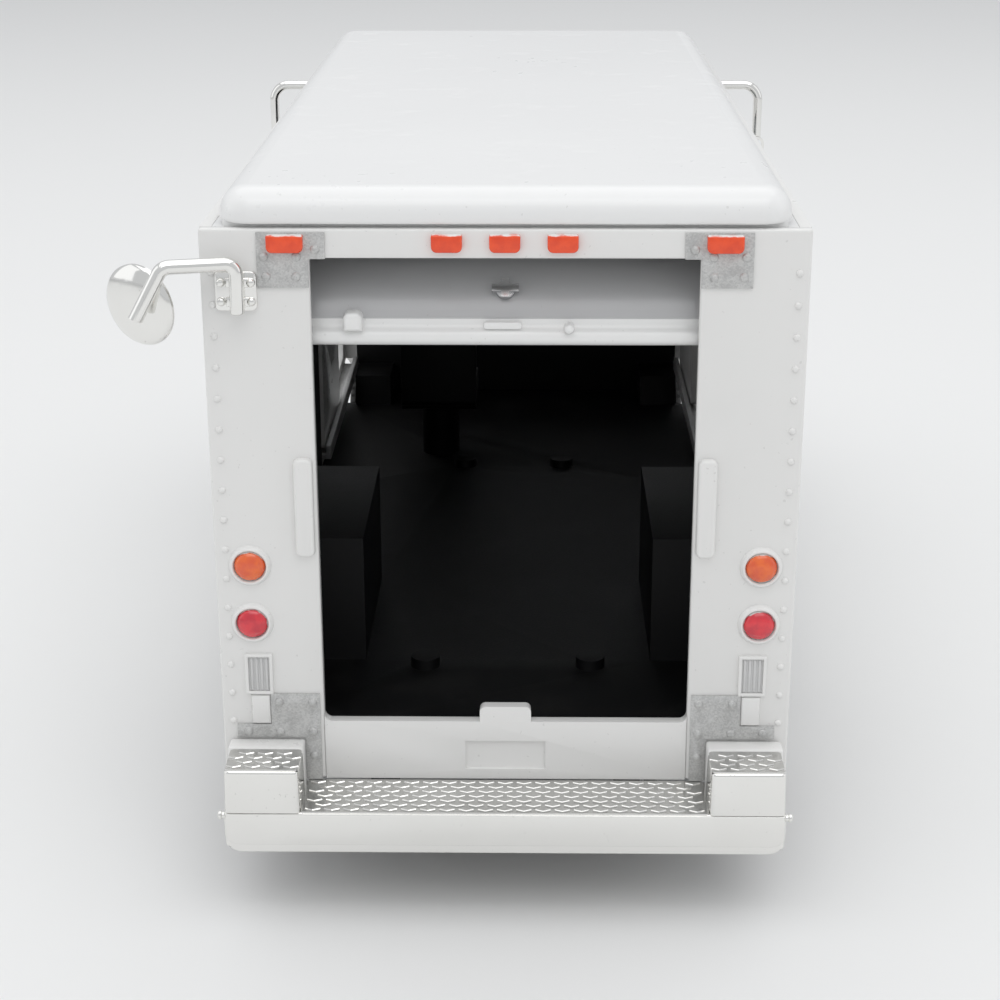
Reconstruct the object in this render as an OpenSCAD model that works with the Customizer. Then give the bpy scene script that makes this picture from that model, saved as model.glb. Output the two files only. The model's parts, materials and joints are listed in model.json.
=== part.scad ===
// Walk-in delivery van, a die-cast display model at about 1:32.  Millimetres.
// +Y points to the front of the van and +Z up.  The ground is z = 0, and the origin is
// on it, centred under the whole van.  Inside the modules y is counted from the rear
// face of the body, which stands at rear_y.

/* [Body] */
// Width over the side panels
body_w = 75; // [72:1:92]
// Length from the rear face to the foot of the windscreen
body_l = 170; // [162:1:204]
// Height of the side panels
body_h = 74.7; // [70:0.1:90]
// Height of the body's lower edge above the axles' centre line
ride_h = 3.75; // [3.5:0.05:7]
// Thickness of the side panels, rear frame and cab front
wall_t = 1.5; // [1.2:0.1:2]
// Height of the roof cap above the side panels
roof_h = 4.8; // [4:0.1:6]
// Step in from the side panel's outer face to the roof cap
roof_inset = 2.2; // [1.8:0.1:3]
// Length of the nose ahead of the windscreen's foot
nose_l = 19; // [18:1:26]
// Height of the windscreen's foot above the body's lower edge
cowl_h = 33.5; // [29.5:0.5:37.5]
// Lean of the windscreen, degrees
rake = 5; // [3:1:8]

/* [Rear opening] */
// Width of the rear opening
opening_w = 48; // [42:1:54]
// Height of the sill panel under the opening
sill_h = 8.45; // [7:0.05:10]
// Height of the opening
opening_h = 62.55; // [56:0.05:64]
// Radius of the roll-up door's bend
bend_r = 9; // [8:0.5:11]
// Thickness of the roll-up door's sheet
sheet_t = 1; // [0.8:0.1:1.2]
// Height of the door's bottom bar
bar_h = 3.3; // [3:0.1:4]
// Height of the door's lower edge above the sill when it is up
door_lift = 50.9; // [44:0.1:52]

/* [Cab doors] */
// Distance from the rear face to the doorway
doorway_y = 136; // [130:1:138]
// Width of the doorway
doorway_w = 28; // [24:1:30]
// Height of the doorway's foot above the body's lower edge
doorway_foot_h = 12.5; // [12.5:0.5:15.5]
// Height of the doorway
doorway_h = 53; // [44:1:53]
// Thickness of a cab door
cab_door_t = 1.2; // [1:0.1:1.4]

/* [Wheels] */
// Diameter of the tyres
tyre_d = 25.5; // [21:0.5:30.6]
// Width of a front tyre
tyre_w = 6.7; // [5.5:0.1:7]
// Width of one rear tyre of a pair
dual_w = 5.7; // [4.7:0.1:6]
// Diameter of the wheel rims
rim_d = 16; // [14:0.5:19]
// Diameter of the axles
axle_d = 2.5; // [2:0.1:3]
// Distance from the rear face to the rear axle
rear_axle_y = 45; // [42:1:55]
// Distance between the axles
wheelbase = 128; // [122:1:152]

/* [Bumpers] */
// Width of the bumpers
bumper_w = 73.3; // [70:0.1:90]
// How far the rear bumper stands out behind the body
rear_bumper_d = 9.5; // [8.5:0.1:11.5]
// How far the front bumper stands out ahead of the nose
front_bumper_d = 5; // [4:0.5:6]
// Height of the bumpers
bumper_h = 6.1; // [5.2:0.1:7.3]
// Width of a step block
step_w = 9.9; // [8.5:0.1:11.5]
// Height of the step blocks above the bumper
step_h = 6; // [5:0.1:7]

/* [Lamps and mirrors] */
// Diameter of the round tail lamps
lamp_d = 4.1; // [3.4:0.1:4.9]
// Distance of the tail lamps from the centre line
lamp_x = 33; // [31:0.1:33.4]
// How far the mirrors stand out from the side panels
mirror_out = 12.3; // [10:0.1:17]
// Diameter of the round rear mirror
mirror_d = 10.4; // [9:0.1:12]
// Diameter of the mirror tubes
tube_d = 1.8; // [1.5:0.1:2.2]

/* [Hidden] */
$fn = 48;

// running clearance between pieces that slide or turn past each other
gap = 0.3;
// radial clearance of an axle in its bore
axle_fit = 0.05;

// overall frame
total_l = rear_bumper_d + body_l + nose_l + front_bumper_d;
rear_y = rear_bumper_d - total_l / 2;
half_w = body_w / 2;
inner_x = half_w - wall_t;
axle_z = tyre_d / 2;
sill_z = axle_z + ride_h;
cowl_z = sill_z + cowl_h;
rim_z = sill_z + body_h;
top_z = rim_z + roof_h;

// rear opening
half_open = opening_w / 2;
sill_top_z = sill_z + sill_h;
open_top_z = sill_top_z + opening_h;

// chassis and floor
bulkhead_y = body_l - wall_t - 0.5;
plate_t = 2;
floor_t = 2.5;
plate_top_z = sill_z + plate_t;
floor_z = plate_top_z + floor_t;
rail_x = 16.5;
rail_w = 3;
rail_h = 6.3;

// wheels
axle_r = axle_d / 2;
arch_r = axle_z + 2.25;
front_axle_y = rear_axle_y + wheelbase;
tyre_out_x = inner_x - 1.1;
dual_gap = 0.6;
dual_in_x = tyre_out_x - 2 * dual_w - dual_gap;
front_in_x = tyre_out_x - tyre_w;
well_t = 1.2;
well_x = dual_in_x - 2.1;
well_half_l = axle_z + 2.25;
well_top_z = sill_z + 23.5;
front_well_x = front_in_x - 1.7;
rim_inset = 0.5;

// roll-up door
bar_t = 2.2;
bar_y = wall_t + 0.4;
door_half_w = half_open + 1.4;
bend_y = wall_t + 1.5 + bend_r;
bend_z = sill_top_z + door_lift;
track_t = 0.9;
track_web = 1.8;
track_out_x = door_half_w + gap + track_web;
run_end_y = bend_y + door_lift + 1.5;
sheet_in_r = bend_r - sheet_t / 2;
sheet_out_r = bend_r + sheet_t / 2;
lock_angle = 42;

// cab doors
doorway_z = sill_z + doorway_foot_h;
door_lap = 1;
door_in_x = inner_x - 0.5 - cab_door_t;
door_travel = doorway_w;
door_foot_z = doorway_z - 1.4;
door_head_z = doorway_z + doorway_h + 1.4;
cab_window_z = doorway_z + 26;
cab_window_h = doorway_h - 32;
cab_window_w = doorway_w - 9;
pane_t = 0.6;

// rear face details
plate_skin = 0.3;
rivet_r = 0.35;
bezel_w = 0.45;
lamp_zs = [sill_z + 22.6, sill_z + 30.6];
tread_t = 0.25;
step_pad_d = 3.2;
white = [0.84, 0.84, 0.82];
silver = [0.77, 0.77, 0.76];
chrome = [0.8, 0.8, 0.8];
black = [0.06, 0.06, 0.06];
amber = [0.9, 0.4, 0.2];
orange = [0.9, 0.33, 0.18];
red = [0.85, 0.2, 0.22];
clear = [0.75, 0.8, 0.82];

// ---- helpers ----

// children are drawn with y counted from the rear face of the body
module from_rear() translate([0, rear_y, 0]) children();

// both sides of the van
module each_side() {
    children();
    mirror([1, 0, 0]) children();
}

// an outline in y and z, extruded from x0 to x1
module along_x(x0, x1)
    translate([x0, 0, 0]) rotate([90, 0, 90]) linear_extrude(x1 - x0) children();

// an outline in x and z, extruded from y0 to y1
module along_y(y0, y1)
    translate([0, y1, 0]) rotate([90, 0, 0]) linear_extrude(y1 - y0) children();

// a box between two corners
module box(a, b) translate(a) cube(b - a);

// a rectangle between two corners
module rect(a, b) translate(a) square(b - a);

// a rectangle with round corners
module round_rect(a, b, r) {
    rect([a[0] + r, a[1]], [b[0] - r, b[1]]);
    rect([a[0], a[1] + r], [b[0], b[1] - r]);
    for (x = [a[0] + r, b[0] - r], y = [a[1] + r, b[1] - r]) translate([x, y]) circle(r);
}

// a round rod from p to q, with a ball at each end
module rod(p, q, r) {
    d = q - p;
    l = norm(d);
    translate(p) rotate([0, acos(d[2] / l), atan2(d[1], d[0])]) cylinder(h = l, r = r);
    translate(p) sphere(r);
    translate(q) sphere(r);
}

// a cylinder that points along x, from x0 to x1
module x_cyl(x0, x1, r) translate([x0, 0, 0]) rotate([0, 90, 0]) cylinder(h = x1 - x0, r = r);

// a cylinder that points along y, from y0 to y1
module y_cyl(y0, y1, r) translate([0, y0, 0]) rotate([-90, 0, 0]) cylinder(h = y1 - y0, r = r);

// children stand on the windscreen's outer face: z runs up it and y points out of it
module on_screen() from_rear() translate([0, body_l, cowl_z]) rotate([rake, 0, 0]) children();

// ---- body ----

// outline of a wheel arch: round, open below
module arch_cut(y) {
    translate([y, axle_z]) circle(arch_r);
    rect([y - arch_r, 0], [y + arch_r, axle_z]);
}

module side_outline() difference() {
    polygon([
        [wall_t, sill_z], [body_l, sill_z], [body_l, cowl_z],
        [body_l - body_h_above_cowl() * tan(rake), rim_z], [wall_t, rim_z]
    ]);
    round_rect([doorway_y, doorway_z], [doorway_y + doorway_w, doorway_z + doorway_h], 2);
    arch_cut(rear_axle_y);
    arch_cut(front_axle_y);
}

function body_h_above_cowl() = rim_z - cowl_z;

module side_panel() color(white) from_rear() along_x(inner_x, half_w) side_outline();

module side_panel_right() side_panel();
module side_panel_left() mirror([1, 0, 0]) side_panel();

// posts and header round the rear opening
module rear_frame() color(white) from_rear() along_y(0, wall_t) difference() {
    rect([-half_w, sill_z], [half_w, rim_z]);
    rect([-half_open, 0], [half_open, open_top_z]);
}

// panel under the rear opening, with the latch tab and the number plate's recess
module rear_sill() color(white) from_rear() difference() {
    union() {
        along_y(0, wall_t) {
            rect([-half_open, sill_z], [half_open, sill_top_z]);
            for (s = [-1, 1]) difference() {
                rect([min(s * half_open, s * (half_open - 1)), sill_top_z],
                     [max(s * half_open, s * (half_open - 1)), sill_top_z + 1]);
                translate([s * (half_open - 1), sill_top_z + 1]) circle(1);
            }
        }
        along_y(0, wall_t) round_rect([-3.4, sill_top_z - 2], [3.4, sill_top_z + 2.15], 0.8);
    }
    along_y(-1, 0.35) rect([-5.3, sill_z + 1.5], [5.3, sill_z + 5.6]);
}

// roof panel: a flange between the side panels, a neck and the crowned cap
module roof_cap() color(white) from_rear() {
    cap_x = half_w - roof_inset;
    cap_z = rim_z + 0.5;
    cap_front = body_l - body_h_above_cowl() * tan(rake) + 1;
    flange_front = body_l - (body_h_above_cowl() + 1) * tan(rake) - wall_t - 0.3;
    r = top_z - cap_z - 0.3;
    box([-inner_x, wall_t, rim_z - 1], [inner_x, flange_front, rim_z]);
    box([-cap_x + 0.7, wall_t, rim_z], [cap_x - 0.7, cap_front - 2, cap_z]);
    intersection() {
        along_y(0, cap_front) {
            round_rect([-cap_x, cap_z - 2 * r], [cap_x, top_z], r);
        }
        along_x(-cap_x, cap_x) round_rect([0, cap_z - 2 * r], [cap_front, top_z], r);
        translate([0, 0, cap_z]) linear_extrude(roof_h)
            round_rect([-cap_x, 0], [cap_x, cap_front], 3);
    }
}

// bulkhead below the windscreen and the leaning windscreen frame
module cab_front() color(white) {
    up = body_h_above_cowl() / cos(rake);
    from_rear() difference() {
        box([-inner_x, bulkhead_y, plate_top_z], [inner_x, body_l, cowl_z]);
        for (s = [-1, 1]) translate([s * (front_well_x + 20), body_l, 0])
            cube([40, 10, 2 * (axle_z + arch_r)], center = true);
    }
    on_screen() difference() {
        box([-inner_x, -wall_t, 0], [inner_x, 0, up]);
        for (s = [-1, 1]) along_y(-2, 1) window_outline(s);
        translate([-50, -wall_t - 1, up - 1]) rotate([-rake, 0, 0]) cube([100, 10, 5]);
    }
}

// one half of the windscreen, in the leaning frame
module window_outline(s) {
    x0 = 1.6;
    x1 = inner_x - 3.2;
    up = body_h_above_cowl() / cos(rake);
    if (s > 0) round_rect([x0, 4], [x1, up - 7], 2);
    else round_rect([-x1, 4], [-x0, up - 7], 2);
}

module windscreen() color(clear) on_screen()
    for (s = [-1, 1]) along_y(-wall_t + 0.3, -0.4) window_outline(s);

// outer outline of the nose from the side
module nose_side(inset) {
    y1 = body_l + nose_l - inset;
    z1 = cowl_z - inset;
    polygon(concat(
        [[body_l, sill_z + 3], [y1, sill_z + 3]],
        [for (a = [0 : 10 : 70]) [y1 - 5 + 5 * cos(a), z1 - 9 + 5 * sin(a)]],
        [[body_l, z1]]
    ));
}

module nose_plan(inset) {
    x = half_w - inset;
    y1 = body_l + nose_l - inset;
    rect([-x, body_l], [x, y1 - 8]);
    rect([-x + 8, body_l], [x - 8, y1]);
    for (s = [-1, 1]) translate([s * (x - 8), y1 - 8]) circle(8);
}

module nose_block(inset) intersection() {
    along_x(-half_w, half_w) nose_side(inset);
    linear_extrude(cowl_z + 1) nose_plan(inset);
}

// hood, wings and front panel in one hollow pressing
module nose_shell() color(white) from_rear() difference() {
    nose_block(0);
    translate([0, -0.01, 0]) nose_block(wall_t);
    translate([0, 0, -1.5]) nose_block(wall_t);
    along_x(-half_w - 1, half_w + 1) arch_cut(front_axle_y);
}

// ---- rear face details ----

module rear_rivets() color(silver) from_rear() {
    n = floor((body_h - 12) / 4.05);
    for (s = [-1, 1], i = [0 : n]) translate([s * (half_w - 1.4), 0, sill_z + 8.5 + 4.05 * i])
        y_cyl(-rivet_r, 0, rivet_r);
}

// a rivet head on a skin plate
module skin_rivet(x, z) translate([x, 0, z]) y_cyl(-plate_skin - 0.3, -plate_skin + 0.1, 0.45);

module upper_corner_plates() color(silver) from_rear() each_side() {
    x0 = half_open + 0.1;
    along_y(-plate_skin, 0) {
        rect([x0, open_top_z - 3.6], [x0 + 6.3, rim_z - 0.4]);
        rect([x0 - 2.1, open_top_z], [x0 + 0.1, rim_z - 0.4]);
    }
    for (p = [[-0.9, 1.2], [1.4, 0.3], [5.4, 0.3], [1.5, -2.2], [5.2, -2.2]])
        skin_rivet(x0 + p[0], open_top_z + p[1]);
}

module lower_corner_plates() color(silver) from_rear() each_side() {
    x0 = half_open + 0.5;
    z0 = sill_z + 6.2;
    along_y(-plate_skin, 0) {
        rect([x0, z0], [x0 + 6.5, sill_z + 12.5]);
        rect([x0 + 6.4, z0], [half_w - 1.9, sill_z + 8.1]);
        rect([x0, sill_z], [x0 + 2.1, z0 + 0.1]);
    }
    for (p = [[1, 11.3], [5.4, 11.3], [1, 7], [5.4, 7], [9.6, 7.1], [1, 3.5]])
        skin_rivet(x0 + p[0], sill_z + p[1]);
}

// three lamps in the middle of the header
module id_lamps() color(orange) from_rear() for (x = [-7.1, 0, 7.1])
    along_y(-1, 0) round_rect([x - 1.9, rim_z - 2.8], [x + 1.9, rim_z - 0.6], 0.3);

// one lamp on each upper corner plate
module clearance_lamps() color(orange) from_rear() each_side()
    along_y(-plate_skin - 1, -plate_skin)
        round_rect([half_open + 0.6, rim_z - 2.8], [half_open + 5.1, rim_z - 0.6], 0.3);

module tail_lens(z) from_rear() each_side() translate([lamp_x, 0, z]) {
    y_cyl(-0.9, 0, lamp_d / 2);
    y_cyl(-1.1, -0.9, lamp_d / 2 - 0.4);
}

module red_tail_lamps() color(red) tail_lens(lamp_zs[0]);
module amber_tail_lamps() color(amber) tail_lens(lamp_zs[1]);

// rings round the tail lamps and the boxes round and under the reversing lamps
module lamp_surrounds() color(white) from_rear() each_side() {
    for (z = lamp_zs) translate([lamp_x, 0, z]) difference() {
        y_cyl(-0.6, 0, lamp_d / 2 + 0.05 + bezel_w);
        y_cyl(-1, 1, lamp_d / 2 + 0.05);
    }
    along_y(-0.5, 0) rect([31.1, sill_z + 8.2], [33.6, sill_z + 12.3]);
    along_y(-0.5, 0) difference() {
        rect([30.6, sill_z + 12.5], [34.2, sill_z + 18.2]);
        rect([31, sill_z + 12.9], [33.8, sill_z + 17.8]);
    }
}

// ribbed lenses
module reverse_lamps() color(silver) from_rear() each_side() {
    along_y(-0.3, 0) rect([31.05, sill_z + 12.95], [33.75, sill_z + 17.75]);
    for (i = [0 : 3]) along_y(-0.55, -0.25)
        rect([31.25 + i * 0.65, sill_z + 13], [31.6 + i * 0.65, sill_z + 17.7]);
}

// upright grab rails beside the opening
module grab_rails() color(white) from_rear() each_side() along_y(-0.9, 0)
    round_rect([half_open + 0.4, sill_z + 32], [half_open + 2.9, sill_z + 45.3], 0.7);

// ---- rear bumper ----

// bumper beam: a main face over a narrower lower lip
module beam_outline(w, h) {
    lip = 1.25;
    difference() {
        rect([-w / 2, -h + lip], [w / 2, 0]);
        for (s = [-1, 1]) difference() {
            translate([s * w / 2, -h + lip]) square(4, center = true);
            translate([s * (w / 2 - 2), -h + lip + 2]) circle(2);
        }
    }
    rect([-w / 2 + 2.4, -h], [w / 2 - 2.4, -h + lip + 0.1]);
}

module rear_bumper() color(chrome) from_rear() {
    translate([0, 0, sill_z - tread_t]) {
        along_y(-rear_bumper_d, 0) beam_outline(bumper_w, bumper_h - tread_t);
        for (s = [-1, 1]) translate([s * (bumper_w / 2 - 0.1), -rear_bumper_d + 1, -0.8])
            rotate([0, s * 90, 0]) cylinder(h = 0.8, r = 0.5);
    }
}

// chequer plates on the beam and on each step block
module tread_plates() color(chrome) from_rear() {
    x0 = half_w - 1.1 - step_w;
    box([-x0, -rear_bumper_d + 0.2, sill_z - tread_t], [x0, -0.2, sill_z]);
    tread_bumps(-x0 + 1.2, x0 - 1.2, -rear_bumper_d + 1, -1, sill_z);
    each_side() {
        box([x0 + 0.1, -rear_bumper_d + 0.2, sill_z + step_h - tread_t],
            [x0 + step_w - 0.1, -step_pad_d - 0.2, sill_z + step_h]);
        tread_bumps(x0 + 1.2, x0 + step_w - 1, -rear_bumper_d + 1, -step_pad_d - 1,
                    sill_z + step_h);
    }
}

// rows of short raised bars, every other row shifted by half a pitch
module tread_bumps(x0, x1, y0, y1, z) {
    pitch = 4.6;
    row = 1.8;
    for (j = [0 : floor((y1 - y0) / row)], i = [0 : floor((x1 - x0) / pitch)]) {
        x = x0 + i * pitch + (j % 2) * pitch / 2;
        if (x < x1) box([x - 0.7, y0 + j * row - 0.2, z - 0.1], [x + 0.7, y0 + j * row + 0.2, z + 0.1]);
    }
}

// a block at each end of the rear bumper
module step_blocks() color(chrome) from_rear() each_side() {
    x0 = half_w - 1.1 - step_w;
    box([x0, -rear_bumper_d, sill_z], [x0 + step_w, -step_pad_d, sill_z + step_h - tread_t]);
    box([x0, -rear_bumper_d, sill_z - tread_t], [x0 + step_w - 0.8, -step_pad_d, sill_z]);
}

// white pads between the step blocks and the body
module step_pads() color(white) from_rear() each_side() {
    x0 = half_w - 1.1 - step_w;
    box([x0 + 0.1, -step_pad_d, sill_z - tread_t], [x0 + step_w + 0.2, -plate_skin, sill_z + step_h]);
}

// ---- mirrors ----

mirror_span = body_w + 2 * mirror_out;
arm_x = -half_w + 4.7;
arm_z = rim_z - 4;
arm_y = -tube_d / 2 - 0.75;
arm_swing = 13;
disc_c = [-mirror_span / 2 + 4.75, -0.8, rim_z - 9.4];
// the disc's back faces the rear and the outside, a little downwards
disc_turn = 30.5;
disc_tip = 6.5;

module rear_mirror_bracket() color(chrome) from_rear() {
    x0 = arm_x - 2.9;
    along_y(-0.5, 0) round_rect([x0, rim_z - 10.2], [x0 + 5.2, rim_z - 5.2], 0.6);
    for (x = [x0 + 0.8, x0 + 4.5], z = [rim_z - 9, rim_z - 6.6])
        translate([x, 0, z]) y_cyl(-1, -0.4, 0.5);
    for (z = [rim_z - 9, rim_z - 6.6])
        box([x0 + 1.5, -0.75, z - 0.6], [x0 + 4.3, -0.4, z + 0.6]);
}

arm_turn = 61;
arm_out = 8.9;
arm_drop = 6.4;
arm_run = arm_drop / sin(arm_turn);
peg_x = -arm_out - arm_drop / tan(arm_turn) + 0.4;
socket_fit = 0.03;

module on_arm() from_rear() translate([arm_x, arm_y, arm_z]) rotate([0, 0, arm_swing]) children();

module on_arm_end() translate([-arm_out, 0, 0]) rotate([0, 270 - arm_turn, 0]) children();

// square peg at the arm's end, which goes into the disc's back
module arm_peg(clear) translate([peg_x, 0, -arm_drop + 0.6])
    box([-0.5 - clear, 0, -0.6 - clear], [0.5 + clear, 2.4 + clear, 0.6 + clear]);

// slot in the disc's back for the arm's last run and its peg
module arm_socket() {
    half = tube_d / 2 + 2 * socket_fit;
    on_arm_end() box([-half, -half, 0], [half, half, arm_run + 2 * socket_fit]);
    arm_peg(socket_fit);
}

// bent tube: up from the bracket, out, then down to the disc
module rear_mirror_arm() color(chrome) on_arm() {
    r = tube_d / 2;
    translate([0, 0, -6.4]) cylinder(h = 6.4, r = r);
    rotate([0, -90, 0]) cylinder(h = arm_out, r = r);
    sphere(r + 0.06);
    translate([-arm_out, 0, 0]) sphere(r + 0.06);
    on_arm_end() cylinder(h = arm_run, r = r);
    arm_peg(0);
}

// part of a ring in x and z round a centre, from angle a0 to a1, of a tube of radius r
module tube_bend(x, z, bend, a0, a1, r)
    translate([x, 0, z]) rotate([90, 0, 0]) rotate([0, 0, a0])
        rotate_extrude(angle = a1 - a0) translate([bend, 0]) circle(r);

module on_disc() from_rear() translate(disc_c) rotate([disc_tip, 0, -disc_turn]) children();

module rear_mirror_head() color(chrome) difference() {
    on_disc() {
        y_cyl(-0.4, 0.6, mirror_d / 2);
        y_cyl(-0.9, -0.4, mirror_d / 2 - 0.9);
        y_cyl(-1.25, -0.9, mirror_d / 2 - 2.4);
    }
    on_arm() arm_socket();
}

// front mirrors: a tube loop on each front corner, and a tall head
front_arm_y = 165.4;
front_head_w = 8;
front_head_h = 15;
front_head_top = rim_z - 16;
arm_bend = 3;
head_x = mirror_span / 2 - front_head_w / 2;

module front_mirror_arms() color(chrome) from_rear() each_side() translate([0, front_arm_y, 0]) {
    r = tube_d / 2;
    z_top = rim_z - 6;
    z_low = front_head_top - front_head_h - 4;
    x_out = mirror_span / 2 - 1.4;
    for (z = [z_top, z_low]) {
        translate([0, 0, z]) x_cyl(half_w, x_out - arm_bend, r);
        translate([0, 0, z]) x_cyl(half_w, half_w + r, 1.4);
    }
    tube_bend(x_out - arm_bend, z_top - arm_bend, arm_bend, 0, 90, r);
    tube_bend(x_out - arm_bend, z_low + arm_bend, arm_bend, 270, 360, r);
    translate([x_out, 0, z_low + arm_bend]) cylinder(h = z_top - z_low - 2 * arm_bend, r = r);
}

module front_mirror_heads() color(chrome) from_rear() each_side() {
    y1 = front_arm_y - tube_d / 2;
    along_y(y1 - 1.2, y1) round_rect([head_x - front_head_w / 2, front_head_top - front_head_h],
                                     [head_x + front_head_w / 2, front_head_top], 1.2);
}

// silvered faces: one on the round mirror and one on each front mirror
module mirror_glasses() color(clear) {
    on_disc() y_cyl(0.6, 0.9, mirror_d / 2 - 0.5);
    from_rear() each_side() {
        y1 = front_arm_y - tube_d / 2 - 1.2;
        along_y(y1 - 0.3, y1) round_rect(
            [head_x - front_head_w / 2 + 0.6, front_head_top - front_head_h + 0.6],
            [head_x + front_head_w / 2 - 0.6, front_head_top - 0.6], 0.8);
    }
}

// ---- front ----

// a boss, an arm and a blade for each half of the windscreen
module wipers() color(black) on_screen() for (x = [-6, 26]) translate([x, 0, 2]) {
    y_cyl(0, 0.7, 0.9);
    rotate([0, -55, 0]) box([0, 0.3, -0.3], [13, 0.7, 0.3]);
    rotate([0, -55, 0]) translate([12.7, 0, 0]) rotate([0, 30, 0])
        box([-9, 0.05, -0.35], [9, 0.65, 0.35]);
}

nose_y = body_l + nose_l;
lamp_front_x = 25.5;
lamp_front_z = sill_z + 14.5;
headlamp_r = 3.2;

module grille() color(black) from_rear() {
    along_y(nose_y, nose_y + 0.4) round_rect([-18.5, sill_z + 7], [18.5, sill_z + 22], 1);
    for (i = [0 : 5]) along_y(nose_y + 0.3, nose_y + 0.9)
        rect([-17.5, sill_z + 8.2 + i * 2.4], [17.5, sill_z + 9.4 + i * 2.4]);
}

module headlamps() color(clear) from_rear() each_side()
    translate([lamp_front_x, 0, lamp_front_z]) {
        y_cyl(nose_y, nose_y + 0.7, headlamp_r);
        y_cyl(nose_y + 0.7, nose_y + 1.1, headlamp_r - 0.8);
    }

module headlamp_bezels() color(chrome) from_rear() each_side()
    translate([lamp_front_x, 0, lamp_front_z]) difference() {
        y_cyl(nose_y, nose_y + 0.9, headlamp_r + 0.8);
        y_cyl(nose_y - 1, nose_y + 2, headlamp_r + 0.02);
    }

// turn signals over the headlamps and five marker lamps over the windscreen
module front_amber_lamps() color(amber) {
    from_rear() each_side() translate([lamp_front_x, 0, lamp_front_z + 6.6])
        y_cyl(nose_y, nose_y + 0.8, 1.5);
    up = body_h_above_cowl() / cos(rake);
    on_screen() for (x = [-28, -7, 0, 7, 28])
        along_y(0, 0.9) round_rect([x - 1.9, up - 4.5], [x + 1.9, up - 2.3], 0.3);
}

module front_bumper() color(chrome) from_rear() translate([0, 0, sill_z + 1])
    along_y(nose_y, nose_y + front_bumper_d) beam_outline(bumper_w, bumper_h + 0.6);

// ---- chassis ----

module screw_places() for (p = screw_points) translate([p[0], p[1], 0]) children();
screw_points = [[-12, 27], [12, 27], [-9, 118], [9, 118]];

// holes for the screws of a display base
base_hole_ys = [18, 158];
base_hole_r = 1.1;

module chassis_plate() color(black) from_rear() difference() {
    box([-inner_x, wall_t, sill_z], [inner_x, body_l + nose_l, plate_top_z]);
    for (s = [-1, 1]) {
        translate([s * (well_x + 1 + 20), rear_axle_y, sill_z])
            cube([40, 2 * well_half_l, 20], center = true);
        translate([s * (front_well_x + 20), body_l + nose_l, sill_z])
            cube([40, 2 * (nose_y - front_axle_y + arch_r), 20], center = true);
    }
    screw_places() translate([0, 0, sill_z - 1]) cylinder(h = 5, r = 1.05);
    for (y = base_hole_ys) translate([0, y, sill_z - 1]) cylinder(h = 5, r = base_hole_r);
}

// two rails under the plate that carry the axles
module frame_rails() color(black) from_rear() each_side() difference() {
    box([rail_x - rail_w / 2, 0, sill_z - rail_h], [rail_x + rail_w / 2, nose_y, sill_z]);
    for (y = [rear_axle_y, front_axle_y]) translate([0, y, axle_z])
        x_cyl(rail_x - rail_w, rail_x + rail_w, axle_r + axle_fit);
}

module fuel_tank() color(black) from_rear() along_y(80, 112)
    round_rect([-33, sill_z - 9], [-18, sill_z], 2.5);

// silencer with its front and tail pipes
module exhaust() color(silver) from_rear() {
    pipe_r = 0.95;
    pipe_z = sill_z - pipe_r - 0.05;
    translate([23.5, 0, sill_z - 3.3]) y_cyl(82, 110, 3.2);
    translate([19.6, 0, pipe_z]) y_cyl(2, 88, pipe_r);
    translate([23.5, 0, sill_z - 3.3]) y_cyl(109, 134, pipe_r);
    rod([19.6, 86, pipe_z], [22, 86, pipe_z - 1], pipe_r);
}

// gearbox, propeller shaft and differential
module driveline() color(black) from_rear() difference() {
    union() {
        box([-5, 130, sill_z - 6], [5, 148, sill_z]);
        translate([0, 0, axle_z + 0.4]) y_cyl(rear_axle_y, 131, 1.2);
        translate([0, rear_axle_y, axle_z]) x_cyl(-4, 4, sill_z - axle_z - 0.05);
    }
    translate([0, rear_axle_y, axle_z]) x_cyl(-10, 10, axle_r + axle_fit);
}

module base_screws() color(silver) from_rear() screw_places() {
    translate([0, 0, sill_z - 1]) difference() {
        cylinder(h = 1, r = 2);
        translate([-1.4, -0.25, -1]) cube([2.8, 0.5, 1.4]);
        translate([-0.25, -1.4, -1]) cube([0.5, 2.8, 1.4]);
    }
    translate([0, 0, sill_z - 0.1]) cylinder(h = plate_t + 2, r = 1);
}

// ---- interior ----

// floor, side liners, rear wheel wells and front wheel covers in one moulding
module cargo_liner() color(black) from_rear() {
    wall_end = doorway_y - door_travel - door_lap - 3;
    floor_end = bulkhead_y;
    difference() {
        union() {
            box([-inner_x, wall_t, plate_top_z], [inner_x, floor_end, floor_z]);
            each_side() {
                box([inner_x - 1.4, wall_t, plate_top_z], [inner_x, wall_end, bend_z + 7]);
                box([well_x, rear_axle_y - well_half_l - well_t, floor_z - 0.1],
                    [inner_x - 0.1, rear_axle_y + well_half_l + well_t, well_top_z]);
                box([front_well_x - 0.8, front_axle_y - arch_r - 1.2, floor_z - 0.1],
                    [door_in_x - 1.4, floor_end, axle_z * 2 + 1.7]);
            }
            screw_places() translate([0, 0, floor_z - 0.1]) cylinder(h = 1.6, r = 2.1);
        }
        each_side() {
            box([well_x + well_t, rear_axle_y - well_half_l, 0],
                [inner_x - 1.4, rear_axle_y + well_half_l, well_top_z - well_t]);
            box([inner_x - 1.5, rear_axle_y - well_half_l, 0],
                [inner_x + 1, rear_axle_y + well_half_l, 2 * axle_z + 2.5]);
            box([front_well_x + 0.4, front_axle_y - arch_r, 0],
                [inner_x + 1, body_l, axle_z * 2 + 0.5]);
        }
        screw_places() translate([0, 0, plate_top_z - 0.1]) cylinder(h = 2.1, r = 1);
    }
}

column_r = 0.9;

// the steering column leans out of the dashboard's rear face
module on_column() from_rear()
    translate([-14, bulkhead_y - 12, cowl_z - 7]) rotate([60, 0, 0]) children();

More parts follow.
